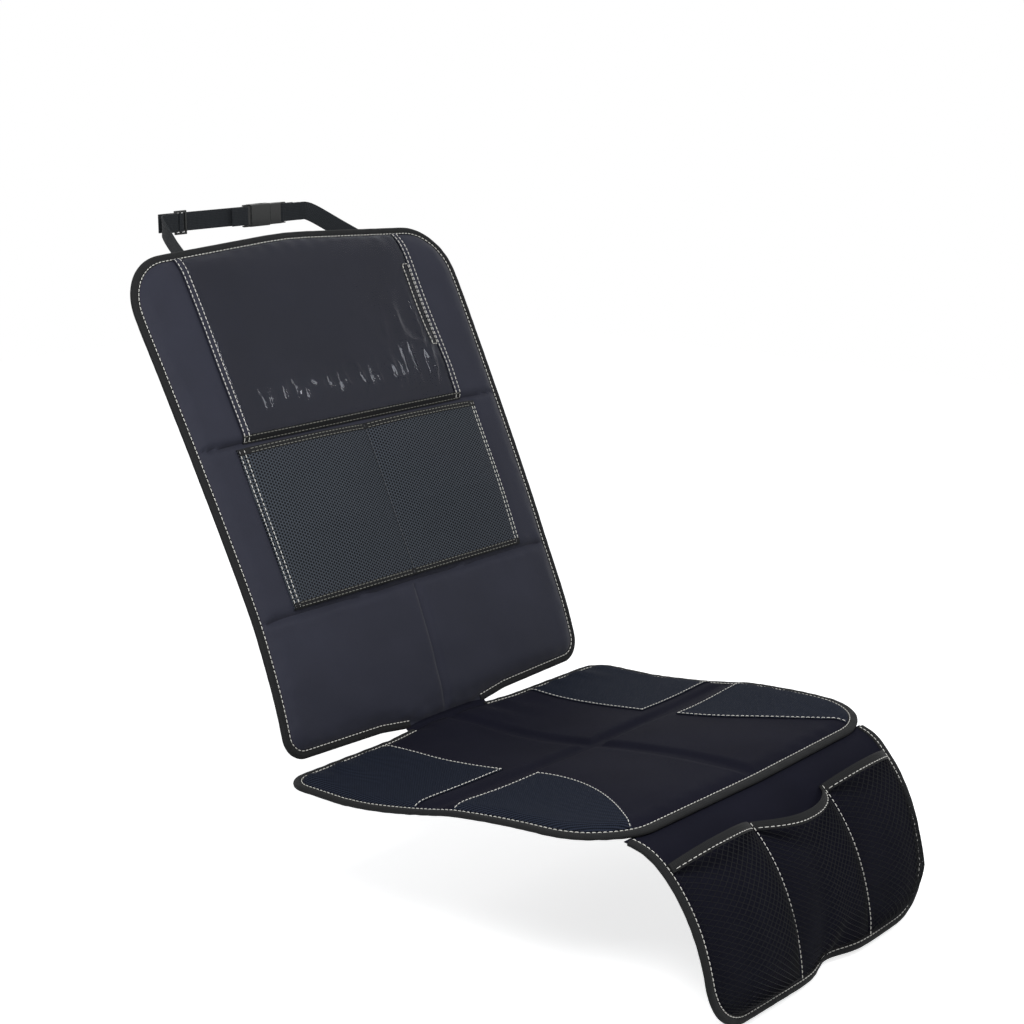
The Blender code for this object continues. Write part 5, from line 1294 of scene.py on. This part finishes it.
hem_rows = []
for sign in (-1, 1):
    for depth in (WINDOW_ROW, WINDOW_SIDE_STRIP - WINDOW_ROW):
        x = sign * (WINDOW_HALF - depth)
        v = np.linspace(WINDOW_BOTTOM_V + 0.001, float(window_top(x)), 60)
        back_rows.append(stitch_row(np.column_stack([np.full(60, x), v]), on(film_top, 0.0013)))
    v = np.linspace(POCKET_BOTTOM_V, POCKET_TOP_V, 40)
    for depth in POCKET_ROWS:
        line = np.column_stack([sign * (pocket_half(v) - depth), v])
        back_rows.append(stitch_row(line, on(pocket_top, 0.0004)))
    across = np.linspace(0.003, POCKET_HALF_BOTTOM - 0.008, 60) * sign
    hem_lines = [POCKET_TOP_V - row for row in POCKET_HEM_ROWS]
    hem_lines += [POCKET_BOTTOM_V + row for row in POCKET_HEM_ROWS]
    for hem_v in hem_lines:
        hem_rows.append(stitch_row(np.column_stack([across, np.full(60, hem_v)]), on(pocket_top, 0.0008)))
across = np.linspace(-WINDOW_HALF + 0.002, WINDOW_HALF - 0.002, 90)
for band_v in (WINDOW_BOTTOM_V + BAND_ROW, WINDOW_BOTTOM_V + WINDOW_STRIP - BAND_ROW):
    hem_rows.append(stitch_row(np.column_stack([across, np.full(90, band_v)]), on(film_top, 0.0008)))
low, high = inner - CLOSURE_WIDTH, inner
box = [(low, CLOSURE_LOW_V), (high, CLOSURE_LOW_V), (high, CLOSURE_HIGH_V), (low, CLOSURE_HIGH_V)]
corners = np.array(box + box[:1])
back_rows.append(stitch_row(resample(corners, 90), on(film_top, 0.0003)))

# %% Rows on the nets
for side, seams, sag in NETS:
    u = np.linspace(0.02, 0.98, 80)
    x, v = net_spot(u, np.zeros(80), seams, sag)
    path = np.column_stack([x, v + 0.001 - NET_TAPE_WIDTH + 0.002])
    lift = net_height(u, np.zeros(80))
    flap_rows.append(stitch_row(path, lambda x_at, v_at, x=x, lift=lift: np.interp(x_at, x, lift) + 0.0014))
for seam in (SEAM_LEFT, SEAM_RIGHT):
    v = np.linspace(NET_TOP_V, NET_FOOT_V, 40)
    path = np.column_stack([np.linspace(*seam, 40), v])
    flap_rows.append(stitch_row(path, on(flap_top, 0.0034)))

# %% Sewn pieces
sew("stitches_back", back_rows, THREAD)
sew("stitches_hems", hem_rows, HEM_THREAD)
sew("stitches_seat", seat_rows, THREAD)
sew("stitches_flap", flap_rows, THREAD)
middle_line = np.column_stack([np.zeros(40), np.linspace(POCKET_BOTTOM_V, POCKET_TOP_V, 40)])
sew("stitches_pocket_seam", [stitch_row(middle_line, on(pocket_top, 0.0006))], DARK_THREAD)

# %% [markdown]
# ## Light and floor
# The picture was cut out on white, so the floor and the world are white to the camera. The light is soft
# and comes from the front and left, where it shows the quilting.


# %% World, floor and lamps
def white_backdrop(tree, lit, output):
    """White where the camera, a mirror or a clear piece looks, and the lit colour for everything else."""
    path = tree.nodes.new("ShaderNodeLightPath")
    looked = add_math(tree, "MAXIMUM", path.outputs["Is Camera Ray"], path.outputs["Is Glossy Ray"])
    looked = add_math(tree, "MAXIMUM", looked, path.outputs["Is Transmission Ray"])
    mix = tree.nodes.new("ShaderNodeMixShader")
    tree.links.new(looked, mix.inputs[0])
    tree.links.new(lit, mix.inputs[1])
    tree.links.new(mix.outputs[0], output)
    return mix


world = bpy.data.worlds.new("white studio")
bpy.context.scene.world = world
world.use_nodes = True
tree = world.node_tree
soft = tree.nodes["Background"]
soft.inputs["Color"].default_value = (0.95, 0.97, 1.0, 1)
soft.inputs["Strength"].default_value = 0.34
white = tree.nodes.new("ShaderNodeBackground")
white.inputs["Color"].default_value = (1, 1, 1, 1)
white.inputs["Strength"].default_value = 1.0
mix = white_backdrop(tree, soft.outputs[0], tree.nodes["World Output"].inputs["Surface"])
tree.links.new(white.outputs[0], mix.inputs[2])

FLOOR_LEVEL = -0.152
FLOOR_GLOW = 0.74
floor_mesh = bpy.data.meshes.new("floor")
floor_corners = [(x, y, FLOOR_LEVEL) for x, y in ((-3, -3), (3, -3), (3, 3), (-3, 3))]
floor_mesh.from_pydata(floor_corners, [], [(0, 1, 2, 3)])
floor = bpy.data.objects.new("floor", floor_mesh)
bpy.context.collection.objects.link(floor)
floor_finish = plain_finish("floor", (0.90, 0.90, 0.90), 0.9, 0.0)
tree = floor_finish.node_tree
path = tree.nodes.new("ShaderNodeLightPath")
glow = add_math(tree, "MULTIPLY", path.outputs["Is Camera Ray"], FLOOR_GLOW)
tree.nodes["Principled BSDF"].inputs["Emission Color"].default_value = (1, 1, 1, 1)
tree.links.new(glow, tree.nodes["Principled BSDF"].inputs["Emission Strength"])
floor_mesh.materials.append(floor_finish)


def lamp(name, place_at, aim, size, power):
    """A square soft lamp that points at a spot on the mat."""
    data = bpy.data.lights.new(name, "AREA")
    data.size = size
    data.energy = power
    item = bpy.data.objects.new(name, data)
    bpy.context.collection.objects.link(item)
    item.location = place_at
    direction = np.array(aim, float) - np.array(place_at, float)
    turn = math.atan2(direction[1], direction[0]) - math.pi / 2
    tilt = math.atan2(direction[2], math.hypot(direction[0], direction[1])) + math.pi / 2
    item.rotation_euler = (tilt, 0, turn)
    return item


lamp("key", (-0.90, -0.75, 1.20), (-0.1, 0.1, 0.3), 0.6, 20)
lamp("fill", (0.6, -1.7, 1.6), (0, 0, 0.2), 0.6, 9)
lamp("rim", (0.6, 1.9, 1.9), (0, 0, 0.2), 1.0, 8)
bpy.context.scene.view_settings.view_transform = "Standard"
